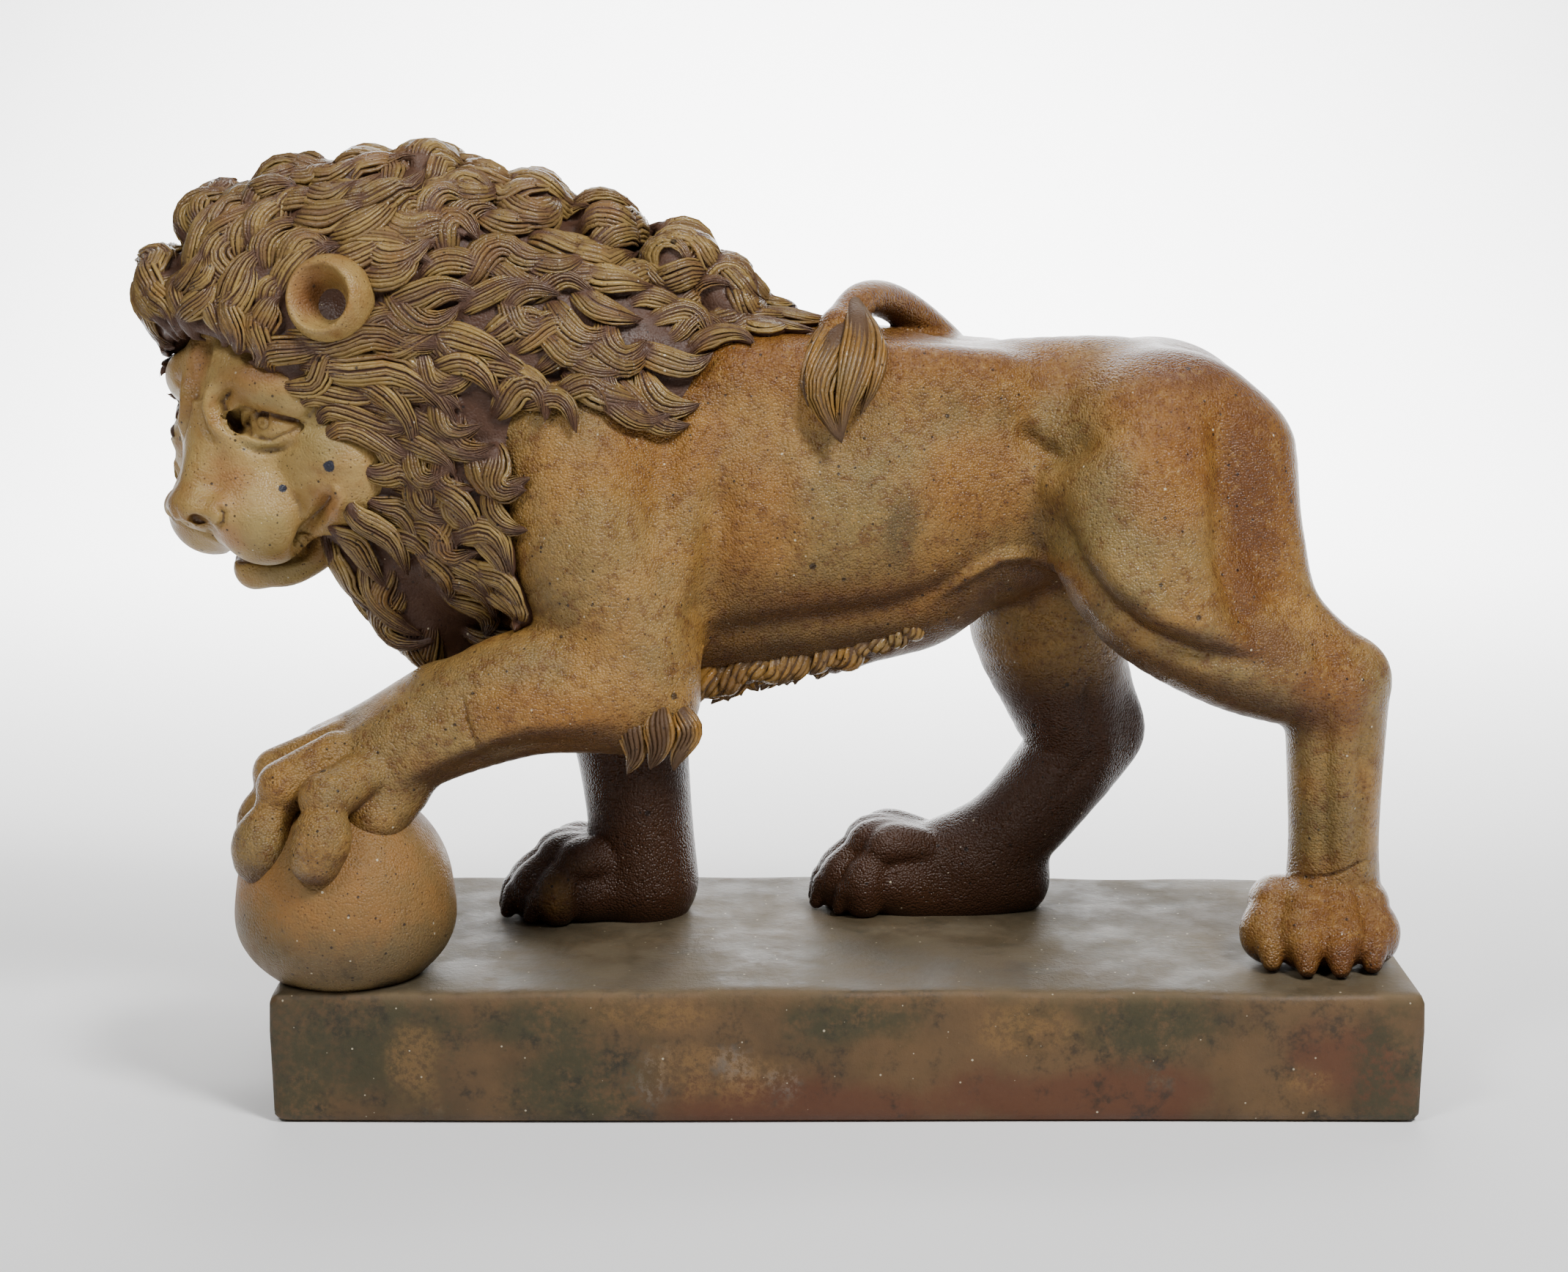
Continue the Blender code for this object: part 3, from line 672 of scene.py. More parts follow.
def tail(clay):
    """The tail, from the rump along the far flank and over the back, to the root of its tuft."""
    clay.limb(
        (33, 1, 56.5, 3.2), (38.0, 3.5, 53.0, 2.8), (40.5, 7.0, 48.0, 2.4), (36, 11, 45.5, 2.2),
        (27, 12.8, 47, 2.1), (16, 12.0, 53, 2.1), (10.0, 8.0, 60.0, 2.0), (5, 2.8, 64.2, 1.9),
        (1.6, -2.4, 65.0, 1.8), (-0.6, -6.4, 62.6, 2.0), blend=0.8,
    )
    clay.limb(
        (-0.6, -6.4, 62.6, 2.0), (-1.1, -9.0, 59.4, 2.6), (-1.0, -10.7, 56.0, 2.0), (-0.9, -11.8, 53.2, 0.5),
        blend=0.8,
    )


def hair_flow(spot):
    """The way the mane is combed at a grid point: away from the face, sinking towards the chest."""
    away = spot - on_head(0, -10, 3)
    away = away / np.linalg.norm(away)
    sink = np.interp(spot[2], (38, 50, 62, 72), (1.9, 1.1, 0.5, 0.1))
    back = np.interp(spot[0], (-68, -52, -30), (0.0, 0.5, 0.9))
    return away + np.array((back, 0, -sink))


def on_face(spot, margin=1.0):
    """Whether a grid point lies on the bare face: within the hairline, or on the cheeks and jaw."""
    left, outward, down = HEAD_AXES.T @ (spot - BETWEEN_BROWS)
    if outward < -15.5 * margin:
        return down > 9 and outward > -17.5 and abs(left) < 8
    cheek = down > 4.5 and abs(left) < margin * (13.6 if down < 9 else 9.0)
    return cheek or (left / 15.2) ** 2 + ((down - 3.6) / 12.2) ** 2 < margin**2


def in_mane(spot):
    """Whether a grid point lies in the mane: behind the face and ahead of the shoulder and withers."""
    if on_face(spot):
        return False
    if spot[2] < 37 and spot[1] < -7.0 or spot[2] < 30:
        return False
    if min(np.linalg.norm(spot - centre) for centre, _ in EARS) < 4.6:
        return False
    return spot[0] < np.interp(spot[2], (28, 48, 55, 58, 61, 65, 80), (-36, -34, -32, -23, -13.5, -8, -6))


class Combed:
    """A surface that hair lies on."""

    def __init__(self, points, quads):
        self.tree = BVHTree.FromPolygons(points.tolist(), quads.tolist())

    def nearest(self, point):
        """The surface's point and outward normal next to a point."""
        spot, normal, _, _ = self.tree.find_nearest(Vector(point))
        return np.array(spot), np.array(normal)

    def run(self, start, flow, length, bend, wave, lean):
        """A path on the surface, with its normals. It follows flow, leaning, bending, waving."""
        spot, normal = self.nearest(start)
        path, normals = [], []
        for s in np.linspace(0, 1, STATIONS):
            path.append(spot)
            normals.append(normal)
            heading = flow(spot)
            heading = heading - (heading @ normal) * normal
            heading = heading / (np.linalg.norm(heading) + 1e-9)
            turn = lean + bend * (1 - 2 * s) + wave * math.sin(2 * math.pi * s)
            heading = heading * math.cos(turn) + np.cross(normal, heading) * math.sin(turn)
            spot, normal = self.nearest(spot + heading * length / (STATIONS - 1))
            normal = normal if normal @ normals[-1] > 0 else normals[-1]
        return np.array(path), np.array(normals)

    def over_hairline(self, angle, reach, wave):
        """A path across the hairline at an angle round the face. reach is in shares of the hairline's."""
        _, outward, _ = HEAD_AXES.T
        path, normals = [], []
        for s, share in zip(np.linspace(0, 1, STATIONS), np.linspace(*reach, STATIONS)):
            turn = angle + wave * math.sin(2 * math.pi * s)
            start = on_head(13.0 * share * math.cos(turn), 20.0, 3.8 + 11.4 * share * math.sin(turn))
            spot, normal, _, _ = self.tree.ray_cast(Vector(start), Vector(-outward))
            if spot is None:
                spot, normal = self.nearest(start - 27.0 * outward)
            path.append(np.array(spot))
            normals.append(np.array(normal) + 0.6 * outward)
        for _ in range(3):
            path[1:-1] = [0.5 * b + 0.25 * (a + c) for a, b, c in zip(path, path[1:], path[2:])]
        normals = np.array(normals)
        return np.array(path), normals / np.linalg.norm(normals, axis=1, keepdims=True)

    def clear_of_ears(self, path, normals):
        """The part of a path before it meets an ear, spread over as many points. None if little is left."""
        gap = np.min([np.linalg.norm(path - centre, axis=1) for centre, _ in EARS], axis=0)
        count = len(path)
        last = count - 1 if gap.min() > 4.5 else int(np.argmax(gap <= 4.5)) - 1
        if last < count // 2:
            return None
        even, steps = np.linspace(0, last, count), np.arange(count)
        return [np.column_stack([np.interp(even, steps, c) for c in rows.T]) for rows in (path, normals)]


def lock(path, normals, width, thickness, strands, rng):
    """One lock laid along a path: its core as limb stations, and its strands as points with radii."""
    count = len(path)
    s = np.linspace(0, 1, count)
    ahead = np.gradient(path, axis=0)
    ahead /= np.linalg.norm(ahead, axis=1, keepdims=True) + 1e-9
    across = np.cross(normals, ahead)
    spread = (0.42 + 0.58 * np.sin(np.minimum(s / 0.48, 1) * math.pi / 2)) * (1 - s**2.2) ** 0.8
    lift = thickness * (np.sin(math.pi * s**0.8) * 0.75 - 0.12 + 0.55 * s**2)
    half = 0.5 * width * spread
    crown = 0.62 * half + 0.08
    core = np.column_stack((path + (lift - crown)[:, None] * normals, crown + 0.02))
    runs = []
    roll = rng.uniform(-0.5, 0.5)
    for v in np.linspace(-1, 1, strands):
        lean = np.clip(v + 0.22 * np.sin(2 * math.pi * (s + roll)) + rng.uniform(-0.06, 0.06), -1, 1)
        rise = lift - 0.75 * half * (1 - np.sqrt(1 - 0.9 * lean**2))
        points = path + (lean * half)[:, None] * across + rise[:, None] * normals
        radius = 0.62 * width / strands * (0.4 + 0.6 * spread) * rng.uniform(0.8, 1.2)
        keep = rng.uniform(0.86, 1.0) if abs(v) > 0.3 else 1.0
        stretch = s * keep * (count - 1)
        below = np.floor(stretch).astype(int).clip(0, count - 2)
        share = (stretch - below)[:, None]
        points = points[below] * (1 - share) + points[below + 1] * share
        runs.append(np.column_stack((points, radius * (np.minimum(1, 0.5 + 3 * s) * (1 - s**5) + 0.08))))
    return core, runs


def mane_starts(points, rng):
    """Points all over the mane, spaced as locks are, which narrows towards the face."""
    face = on_head(0, -6, 2)
    chosen = []
    for index in rng.permutation(len(points)):
        spot = points[index]
        if not in_mane(spot):
            continue
        room = LOCK_SPACING * np.interp(np.linalg.norm(spot - face), (8, 20), (0.8, 1.0))
        if chosen and np.min(np.linalg.norm(np.array(chosen) - spot, axis=1)) < room:
            continue
        chosen.append(spot)
    return chosen


def on_path(stations, count):
    """count points spread evenly along a smooth path through stations."""
    path = smooth_path([(*station, 1.0) for station in stations], 0.3)[:, :3]
    reach = np.concatenate(((0,), np.cumsum(np.linalg.norm(np.diff(path, axis=0), axis=1))))
    even = np.linspace(0, reach[-1], count)
    return np.column_stack([np.interp(even, reach, path[:, axis]) for axis in range(3)])


def tufts(clay, rng):
    """Hair away from the mane: the tail's tuft, the elbow's and the fringe of the belly."""
    runs = []

    def lay(stations, outward, width, thickness, strands):
        path = on_path(stations, STATIONS)
        normals = np.tile(np.array(outward, float) / np.linalg.norm(outward), (STATIONS, 1))
        core, strands_of_lock = lock(path, normals, width, thickness, strands, rng)
        clay.limb(*core, blend=0.4, step=1.0)
        runs.extend(strands_of_lock)

    lay(((1.0, -5.4, 64.6), (-1.6, -10.4, 60.8), (-2.6, -12.6, 57.2), (-1.6, -13.6, 54.2),
         (-0.4, -13.4, 52.2)),
        (-0.25, -0.97, 0.25), 4.2, 1.5, 8)
    lay(((0.8, -4.8, 65.6), (1.0, -10.0, 62.0), (0.6, -12.8, 58.4), (-0.4, -13.8, 55.2), (-0.6, -13.6, 52.6)),
        (0.15, -0.97, 0.25), 4.4, 1.6, 8)
    lay(((0.4, -4.6, 64.8), (-2.6, -8.6, 61.6), (-3.8, -11.0, 58.2), (-3.4, -12.4, 55.6)),
        (-0.8, -0.6, 0.2), 2.8, 1.2, 5)
    lay(((1.6, -5.0, 64.8), (2.6, -9.8, 61.4), (2.2, -12.0, 57.8), (0.8, -12.8, 54.8)),
        (0.8, -0.6, 0.2), 2.8, 1.2, 5)
    for x, y, z, lean in ((-20.0, -17.0, 27.0, -0.5), (-18.0, -17.8, 27.6, 0.0), (-16.0, -16.6, 27.2, 0.5)):
        lay(((x, y, z), (x + 1.2 * lean, y - 0.6, z - 2.2), (x - 0.3, y - 0.4, z - 4.4),
             (x - 1.0, y + 0.2, z - 6.4)),
            (lean, -0.95, 0.2), 3.2, 1.3, 7)
    belly = (
        (-17.5, 25.6), (-13.6, 26.6), (-10.1, 27.6), (-6.1, 28.2), (-2.9, 28.8), (1.8, 29.8), (5.7, 31.4)
    )
    for x in np.arange(-18.0, 7.0, 1.5):
        z = np.interp(x, *np.transpose(belly))
        for y in (-5.0, -2.8, 0.0, 2.8, 5.0):
            drop = rng.uniform(0.7, 1.25) * np.interp(x, (-17, -8, 6), (3.3, 2.6, 1.3))
            rise = 0.05 * y * y + 0.4
            lay(((x + 1.0, y * 1.15, z + rise + 1.0),
                 (x + rng.uniform(-0.5, 0.5), y * 1.25, z + rise - 0.5 * drop),
                 (x + rng.uniform(-1.6, 0.4), y * 1.05, z + rise - drop)),
                (rng.uniform(-0.4, 0.4), -1 if y <= 0 else 1, -0.3), rng.uniform(1.9, 3.0), 1.0, 4)
    return runs


def strand_tree(material):
    """Node tree that sweeps each chain of edges to a round strand as thick as its points' radius."""
    tree = bpy.data.node_groups.new("swept_strands", "GeometryNodeTree")
    tree.interface.new_socket("Geometry", in_out="INPUT", socket_type="NodeSocketGeometry")
    sides = tree.interface.new_socket("Sides", in_out="INPUT", socket_type="NodeSocketInt")
    tree.interface.new_socket("Geometry", in_out="OUTPUT", socket_type="NodeSocketGeometry")

    def add(kind, sockets):
        """A node with the values or links of its sockets. Gives its first output."""
        node = tree.nodes.new(kind)
        for label, value in sockets.items():
            if isinstance(value, bpy.types.NodeSocket):
                tree.links.new(value, node.inputs[label])
            else:
                node.inputs[label].default_value = value
        return next(iter(node.outputs), None)

    start = tree.nodes.new("NodeGroupInput").outputs
    curves = add("GeometryNodeMeshToCurve", {"Mesh": start["Geometry"]})
    radius = add("GeometryNodeInputNamedAttribute", {"Name": "radius_of_strand"})
    outline = add("GeometryNodeCurvePrimitiveCircle", {"Resolution": start["Sides"], "Radius": 1.0})
    sockets = {"Curve": curves, "Profile Curve": outline, "Scale": radius, "Fill Caps": True}
    strands = add("GeometryNodeSetShadeSmooth", {"Geometry": add("GeometryNodeCurveToMesh", sockets)})
    strands = add("GeometryNodeRealizeInstances", {"Geometry": strands})
    strands = add("GeometryNodeSetMaterial", {"Geometry": strands, "Material": material})
    add("NodeGroupOutput", {"Geometry": strands})
    return tree, sides.identifier


def strands_piece(name, runs, material):
    """A piece made of swept strands. Each run is an array of grid points with radii."""
    count = len(runs[0])
    stations = np.concatenate(runs)
    mesh = points_mesh(name, stations[:, :3])
    first = (np.arange(len(runs))[:, None] * count + np.arange(count - 1)).ravel()
    mesh.edges.add(len(first))
    mesh.edges.foreach_set("vertices", np.column_stack((first, first + 1)).astype(np.int32).ravel())
    piece = new_object(name, mesh)
    keep_attribute(piece, "radius_of_strand", stations[:, 3] * UNIT)
    keep_attribute(piece, "tone", np.repeat(np.random.default_rng(len(runs)).uniform(0, 1, len(runs)), count))
    tree, sides = strand_tree(material)
    sweep = piece.modifiers.new("swept", "NODES")
    sweep.node_group = tree
    sweep[sides] = STRAND_SIDES
    applied(piece)
    return piece


class Amount:
    """A number that varies over a surface. Sums on it add Math nodes."""

    def __init__(self, finish, socket):
        self.finish = finish
        self.socket = socket

    def _with(self, operation, *values):
        return self.finish.math(operation, *values)

    def __add__(self, other):
        return self._with("ADD", self, other)

    def __radd__(self, other):
        return self._with("ADD", other, self)

    def __sub__(self, other):
        return self._with("SUBTRACT", self, other)

    def __rsub__(self, other):
        return self._with("SUBTRACT", other, self)

    def __mul__(self, other):
        return self._with("MULTIPLY", self, other)

    def __rmul__(self, other):
        return self._with("MULTIPLY", other, self)

    def between(self, low, high):
        """0 below low, 1 above high, and a smooth rise from one to the other."""
        return self.finish.range(self, low, high)


class Finish:
    """A material under construction."""

    def __init__(self, name):
        self.material = bpy.data.materials.new(name)
        self.material.use_nodes = True
        self.tree = self.material.node_tree
        self.shader = self.tree.nodes["Principled BSDF"]
        self.kept = {}
        self.colour = None

    def once(self, key, make):
        """What make gives, made only the first time that key is asked for."""
        if key not in self.kept:
            self.kept[key] = make()
        return self.kept[key]

    def node(self, kind, settings=None, values=None, output=0):
        """A node of a type, with its settings, then the values or links of its sockets. Gives one output."""
        node = self.tree.nodes.new(kind)
        for label, setting in (settings or {}).items():
            setattr(node, label, setting)
        for label, value in (values or {}).items():
            self.feed(node.inputs[label], value)
        return Amount(self, node.outputs[output])

    def feed(self, socket, value):
        """Links or sets a socket."""
        if isinstance(value, Amount):
            self.tree.links.new(value.socket, socket)
        else:
            socket.default_value = value

    def math(self, operation, *values):
        return self.node("ShaderNodeMath", {"operation": operation}, dict(enumerate(values)))

    def range(self, value, low, high, to_low=0.0, to_high=1.0):
        """A smooth rise from to_low to to_high while value goes from low to high."""
        sockets = {"Value": value, "From Min": low, "From Max": high, "To Min": to_low, "To Max": to_high}
        return self.node("ShaderNodeMapRange", {"interpolation_type": "SMOOTHSTEP"}, sockets)

    def blend(self, share, first, second):
        """A colour between two."""
        node = self.tree.nodes.new("ShaderNodeMix")
        node.data_type = "RGBA"
        self.feed(node.inputs[0], share)
        for socket, colour in zip([s for s in node.inputs if s.type == "RGBA"], (first, second)):
            self.feed(socket, colour if isinstance(colour, Amount) else (*colour, 1.0))
        return Amount(self, [s for s in node.outputs if s.type == "RGBA"][0])

    def lay(self, share, colour):
        """Lays a colour over what is there so far."""
        self.colour = self.blend(share, self.colour, colour)

    def place(self):
        """The point in the row's frame, in metres."""
        return self.once("place", lambda: self.node("ShaderNodeTexCoord", output="Object"))

    def noise(self, scale, detail=3.0, roughness=0.55, shift=(0, 0, 0)):
        """Cloudy noise with scale features a metre."""
        def make():
            spot = self.node("ShaderNodeMapping", None, {"Vector": self.place(), "Location": shift})
            values = {"Vector": spot, "Scale": scale, "Detail": detail, "Roughness": roughness}
            return self.node("ShaderNodeTexNoise", None, values)

        return self.once(("noise", scale, detail, roughness, shift), make)

    def specks(self, scale, size, shift=(0, 0, 0)):
        """Round spots of mixed sizes up to size, a share of their spacing."""
        spot = self.node("ShaderNodeMapping", None, {"Vector": self.place(), "Location": shift})
        cell = self.tree.nodes.new("ShaderNodeTexVoronoi")
        self.feed(cell.inputs["Vector"], spot)
        cell.inputs["Scale"].default_value = scale
        lot = self.node("ShaderNodeSeparateColor", None, {"Color": Amount(self, cell.outputs["Color"])})
        far = Amount(self, cell.outputs["Distance"])
        return (size * lot * lot - far).between(0.0, 0.35 * size)

    def attribute(self, label):
        """A number kept at the piece's points."""
        return self.node("ShaderNodeAttribute", {"attribute_name": label}, output="Fac")

    def axis(self, label):
        """One coordinate of the point, X, Y or Z, in metres."""
        make = lambda: self.node("ShaderNodeSeparateXYZ", None, {"Vector": self.place()}, output=label)
        return self.once(("axis", label), make)

    def patch(self, label, ragged=0.6):
        """A kept mask of soft patches, its edges made ragged."""
        wander = (self.noise(11, 5, 0.62, (3, 8, 1)) - 0.5) * (2.4 * ragged)
        return (self.attribute(label) + wander).between(0.2, 0.85)

    def facing(self, label):
        """One part of the surface's normal, X, Y or Z."""
        normal = self.node("ShaderNodeNewGeometry", output="Normal")
        return self.node("ShaderNodeSeparateXYZ", None, {"Vector": normal}, output=label)

    def bump(self, height, depth):
        """Relief of a depth in metres."""
        return self.node("ShaderNodeBump", None, {"Height": height, "Distance": depth, "Strength": 1.0})

    def done(self, roughness, normal=None, specular=0.32):
        """Plugs the finish together."""
        self.feed(self.shader.inputs["Base Color"], self.colour)
        self.feed(self.shader.inputs["Roughness"], roughness)
        if normal is not None:
            self.feed(self.shader.inputs["Normal"], normal)
        self.shader.inputs["Specular IOR Level"].default_value = specular
        return self.material


# Fired colours, linear
HONEY = (0.262, 0.132, 0.030)
STRAW = (0.315, 0.178, 0.048)
GREEN_GREY = (0.165, 0.128, 0.048)
OLIVE = (0.175, 0.112, 0.038)
ORANGE = (0.205, 0.083, 0.014)
RUST = (0.098, 0.034, 0.009)
DARK_RUST = (0.038, 0.013, 0.006)
MANE_STRAW = (0.290, 0.190, 0.062)
FACE_HONEY = (0.235, 0.130, 0.038)
FACE_STRAW = (0.330, 0.218, 0.074)
FACE_GREEN = (0.245, 0.185, 0.066)
FLESH = (0.300, 0.135, 0.050)
MAUVE = (0.078, 0.038, 0.022)
IRON = (0.012, 0.007, 0.006)
BLUE_BLACK = (0.018, 0.019, 0.030)
SOOT = (0.018, 0.016, 0.011)
MOSS = (0.036, 0.036, 0.017)
EARTH = (0.070, 0.042, 0.019)
UMBER = (0.112, 0.064, 0.027)
WHITE_SPECK = (0.55, 0.48, 0.34)
PURPLE_BROWN = (0.145, 0.080, 0.048)
BRICK = (0.085, 0.028, 0.013)
OCHRE = (0.200, 0.110, 0.038)
CHALK = (0.30, 0.24, 0.19)
DARKER_TOP, PALER_TOP = (0.062, 0.052, 0.031), (0.118, 0.092, 0.055)
# Pale colour of the painted highlight along the plinth's top edges
PAINTED_EDGE_HIGHLIGHT = (0.22, 0.135, 0.06)
BALL_TAN, BALL_ORANGE = (0.195, 0.112, 0.036), (0.250, 0.118, 0.030)
BALL_GREY = (0.082, 0.064, 0.030)
PALE_PAPER = (0.90, 0.90, 0.90, 1.0)

# Specks in the glaze: how many a metre, their size as a share of their spacing, shift, strength, colour
GLAZE_SPECKS = (
    (300, 0.34, (0, 0, 0), 0.80, DARK_RUST),
    (120, 0.24, (0.3, 0.1, 0), 0.85, IRON),
    (30, 0.13, (0.1, 0.7, 0.2), 0.80, IRON),
    (80, 0.12, (0.5, 0.2, 0.4), 0.80, WHITE_SPECK),
)


def iron_specks(finish):
    """Fine iron specks, a few larger blots and tiny pale bits fired into the glaze."""
    for scale, size, shift, strength, colour in GLAZE_SPECKS:
        finish.lay(finish.specks(scale, size, shift) * strength, colour)


def orange_peel(finish, depth=0.0007, ripple=1.2):
    """The pitted skin of a salt glaze, over longer ripples."""
    cell = finish.node("ShaderNodeTexVoronoi", None, {"Vector": finish.place(), "Scale": 430.0})
    return finish.bump(finish.noise(90, 2) * ripple - cell * cell * 1.4, depth)


def glazed_body():
    """The lion's coat: honey and olive, flashed orange to rust along the back and rump, rust in the folds
    partly as painted shade, and painted shade darkening the undersides and the far side low down.
    """
    finish = Finish("salt_glazed_coat")
    cloud = finish.noise(6.5, 5, 0.6)
    drift = finish.noise(15, 4, 0.6, (2.0, 0.4, 1.1))
    grain = finish.noise(170, 3, 0.7)
    pits = finish.specks(430, 0.75, (0.2, 0.3, 0.7))
    finish.colour = finish.blend(cloud.between(0.38, 0.62), OLIVE, HONEY)
    finish.lay(drift.between(0.45, 0.70) * 0.45, STRAW)
    finish.lay(finish.patch("grey") * 0.45, GREEN_GREY)
    finish.lay(finish.patch("warm") * 0.65, ORANGE)
    flash = finish.patch("flash")
    finish.lay(flash * 0.75, ORANGE)
    finish.lay(flash * (0.38 + pits * 0.62) * drift.between(0.10, 0.45), RUST)
    finish.lay(finish.patch("streak", 0.4) * 0.75, RUST)
    finish.lay(finish.patch("stain") * 0.5, SOOT)
    # Rust in the creases and recesses: partly the glaze's own colour in the folds, partly painted shade.
    recess = finish.attribute("recess")
    finish.lay(recess.between(0.02, 0.30) * 0.65, RUST)
    fleck = finish.noise(60, 4, 0.7)
    finish.lay((fleck * 0.6 + grain * 0.4).between(0.47, 0.64) * 0.70, RUST)
    finish.lay((fleck * 0.4 + grain * 0.6).between(0.47, 0.34) * 0.5, STRAW)
    # Painted shade: dark rust on surfaces that face down, and on the far side of the body and legs below the
    # belly.
    under = finish.facing("Z").between(0.0, -0.70) * 0.75
    far = (finish.axis("Y") + (drift - 0.5) * 0.03).between(-0.02, 0.01)
    far = far * finish.axis("Z").between(0.46, 0.36)
    finish.lay(finish.math("MAXIMUM", under, far * 0.96), DARK_RUST)
    iron_specks(finish)
    rough = finish.range(finish.noise(14, 3) - flash * 0.25, 0.30, 0.65, 0.13, 0.38)
    return finish.done(rough, orange_peel(finish, 0.0009))


def glazed_face():
    """The face: paler straw and honey, with brown in the folds, and painted shade in the deepest recesses and
    in the near ear's cavity.
    """
    finish = Finish("salt_glazed_face")
    cloud = finish.noise(16, 4, 0.6)
    drift = finish.noise(28, 4, 0.6, (2.0, 0.4, 1.1))
    grain = finish.noise(170, 3, 0.7)
    finish.colour = finish.blend(cloud.between(0.34, 0.60), FACE_HONEY, FACE_STRAW)
    finish.lay(drift.between(0.48, 0.72) * 0.5, ORANGE)
    finish.lay(finish.patch("flesh", 0.8) * 0.6, FLESH)
    finish.lay(finish.patch("green", 0.8) * 0.65, FACE_GREEN)
    # Painted shade in the near ear's cavity.
    finish.lay(finish.patch("ear_hollow_shade", 0.4) * 0.7, RUST)
    # Brown in the folds, then painted shade as dark rust in the deepest recesses.
    recess = finish.attribute("recess")
    finish.lay(recess.between(0.01, 0.16) * 0.8, MAUVE)
    finish.lay(recess.between(0.10, 0.40) * 0.7, DARK_RUST)
    finish.lay((grain - 0.5).between(0.06, 0.22) * 0.3, RUST)
    blot = finish.attribute("blot") + (drift - 0.5) * 1.2 + (grain - 0.5) * 0.5
    finish.lay(blot.between(0.34, 0.50), BLUE_BLACK)
    iron_specks(finish)
    rough = finish.range(finish.noise(20, 3), 0.35, 0.65, 0.30, 0.46)
    return finish.done(rough, orange_peel(finish, 0.0004, 0.25))


def glazed_mane(name, dark, light, groove):
    """Hair: two colours in clouds on the strands, a third where the glaze has run into the grooves, and
    painted shade in the deepest of them.
    """
    finish = Finish(name)
    cloud = finish.noise(9, 4, 0.6)
    drift = finish.noise(24, 4, 0.6, (1.0, 2.4, 0.1))
    grain = finish.noise(190, 3, 0.7)
    finish.colour = finish.blend(cloud.between(0.36, 0.64), dark, light)
    finish.lay(drift.between(0.5, 0.75) * 0.6, ORANGE)
    tone = (finish.attribute("tone") + (grain - 0.5) * 0.8).between(0.2, 1.0)
    finish.lay(tone * 0.6, groove)
    recess = finish.attribute("recess")
    finish.lay((recess + (grain - 0.5) * 0.5).between(0.25, 0.9), groove)
    # Painted shade: dark rust in the deepest grooves and over the clay between the locks.
    finish.lay((recess + (drift - 0.5) * 0.5).between(0.8, 1.15) * 0.7, DARK_RUST)
    high = finish.axis("Z").between(0.72, 0.92)
    finish.lay(high * drift.between(0.42, 0.62) * 0.45, PURPLE_BROWN)
    iron_specks(finish)
    rough = finish.range(finish.noise(30, 3), 0.35, 0.65, 0.09, 0.24) + recess.between(0.5, 1.0) * 0.35
    return finish.done(rough, orange_peel(finish, 0.0003))


def weathered_plinth():
    """The plinth: dull brown, reddish low down, with moss and soot on its top and left end, and a painted
    highlight along its top edges.
    """
    finish = Finish("weathered_plinth")
    z = finish.axis("Z")
    cloud = finish.noise(6, 5, 0.65)
    drift = finish.noise(17, 5, 0.65, (3, 1, 2))
    grain = finish.noise(140, 4, 0.75)
    finish.colour = finish.blend(cloud.between(0.35, 0.65), EARTH, UMBER)
    finish.lay(finish.patch("red", 0.7) * 0.75, BRICK)
    moss = (drift + (z - 0.10) * 2.0).between(0.50, 0.72) * 0.8
    finish.lay(moss * (grain * 0.8 + 0.2), MOSS)
    finish.lay(finish.patch("moss", 0.8) * (drift + grain - 0.5).between(0.25, 0.6) * 0.80, MOSS)
    finish.lay(finish.patch("ochre", 0.8) * grain.between(0.35, 0.6) * 0.6, OCHRE)
    blotch = finish.noise(26, 5, 0.7, (0, 5, 1))
    finish.lay(blotch.between(0.50, 0.68) * grain.between(0.35, 0.6) * 0.75, SOOT)
    smudge = finish.patch("smudge", 1.0) * (blotch * 0.6 + grain * 0.6).between(0.56, 0.74)
    finish.lay(smudge * 0.3, CHALK)
    # Upward faces take a mottled darker brown.
    top = finish.facing("Z").between(0.6, 0.95)
    finish.lay(top * 0.7, finish.blend(drift.between(0.35, 0.65), DARKER_TOP, PALER_TOP))
    # Painted highlight: a pale line along the top edges, where the rounded edge catches light.
    finish.lay(finish.attribute("edge") * drift.between(0.3, 0.6) * 0.6, PAINTED_EDGE_HIGHLIGHT)
    finish.lay(grain.between(0.58, 0.8) * 0.45, SOOT)
    finish.lay(finish.specks(90, 0.14, (0.5, 0.2, 0.4)) * 0.7, WHITE_SPECK)
    rough = finish.range(drift, 0.3, 0.7, 0.48, 0.72)
    return finish.done(rough, finish.bump(grain + cloud * 2.0, 0.0009))


def glazed_ball():
    """The ball: orange-tan above, greyer and darker towards the plinth."""
    finish = Finish("salt_glazed_ball")
    z = finish.axis("Z")
    cloud = finish.noise(14, 4, 0.6)
    drift = finish.noise(30, 5, 0.65, (3, 1, 2))
    grain = finish.noise(150, 3, 0.7)
    finish.colour = finish.blend(cloud.between(0.35, 0.65), BALL_TAN, BALL_ORANGE)
    # Greyer and darker towards the bottom, near the plinth.
    low = (z + (drift - 0.5) * 0.10).between(0.235, 0.16)
    finish.lay(low * 0.75, BALL_GREY)
    finish.lay(low * drift.between(0.5, 0.7) * 0.7, SOOT)
    finish.lay(grain.between(0.55, 0.8) * 0.5, RUST)
    iron_specks(finish)
    return finish.done(finish.range(drift, 0.3, 0.7, 0.38, 0.58), orange_peel(finish))


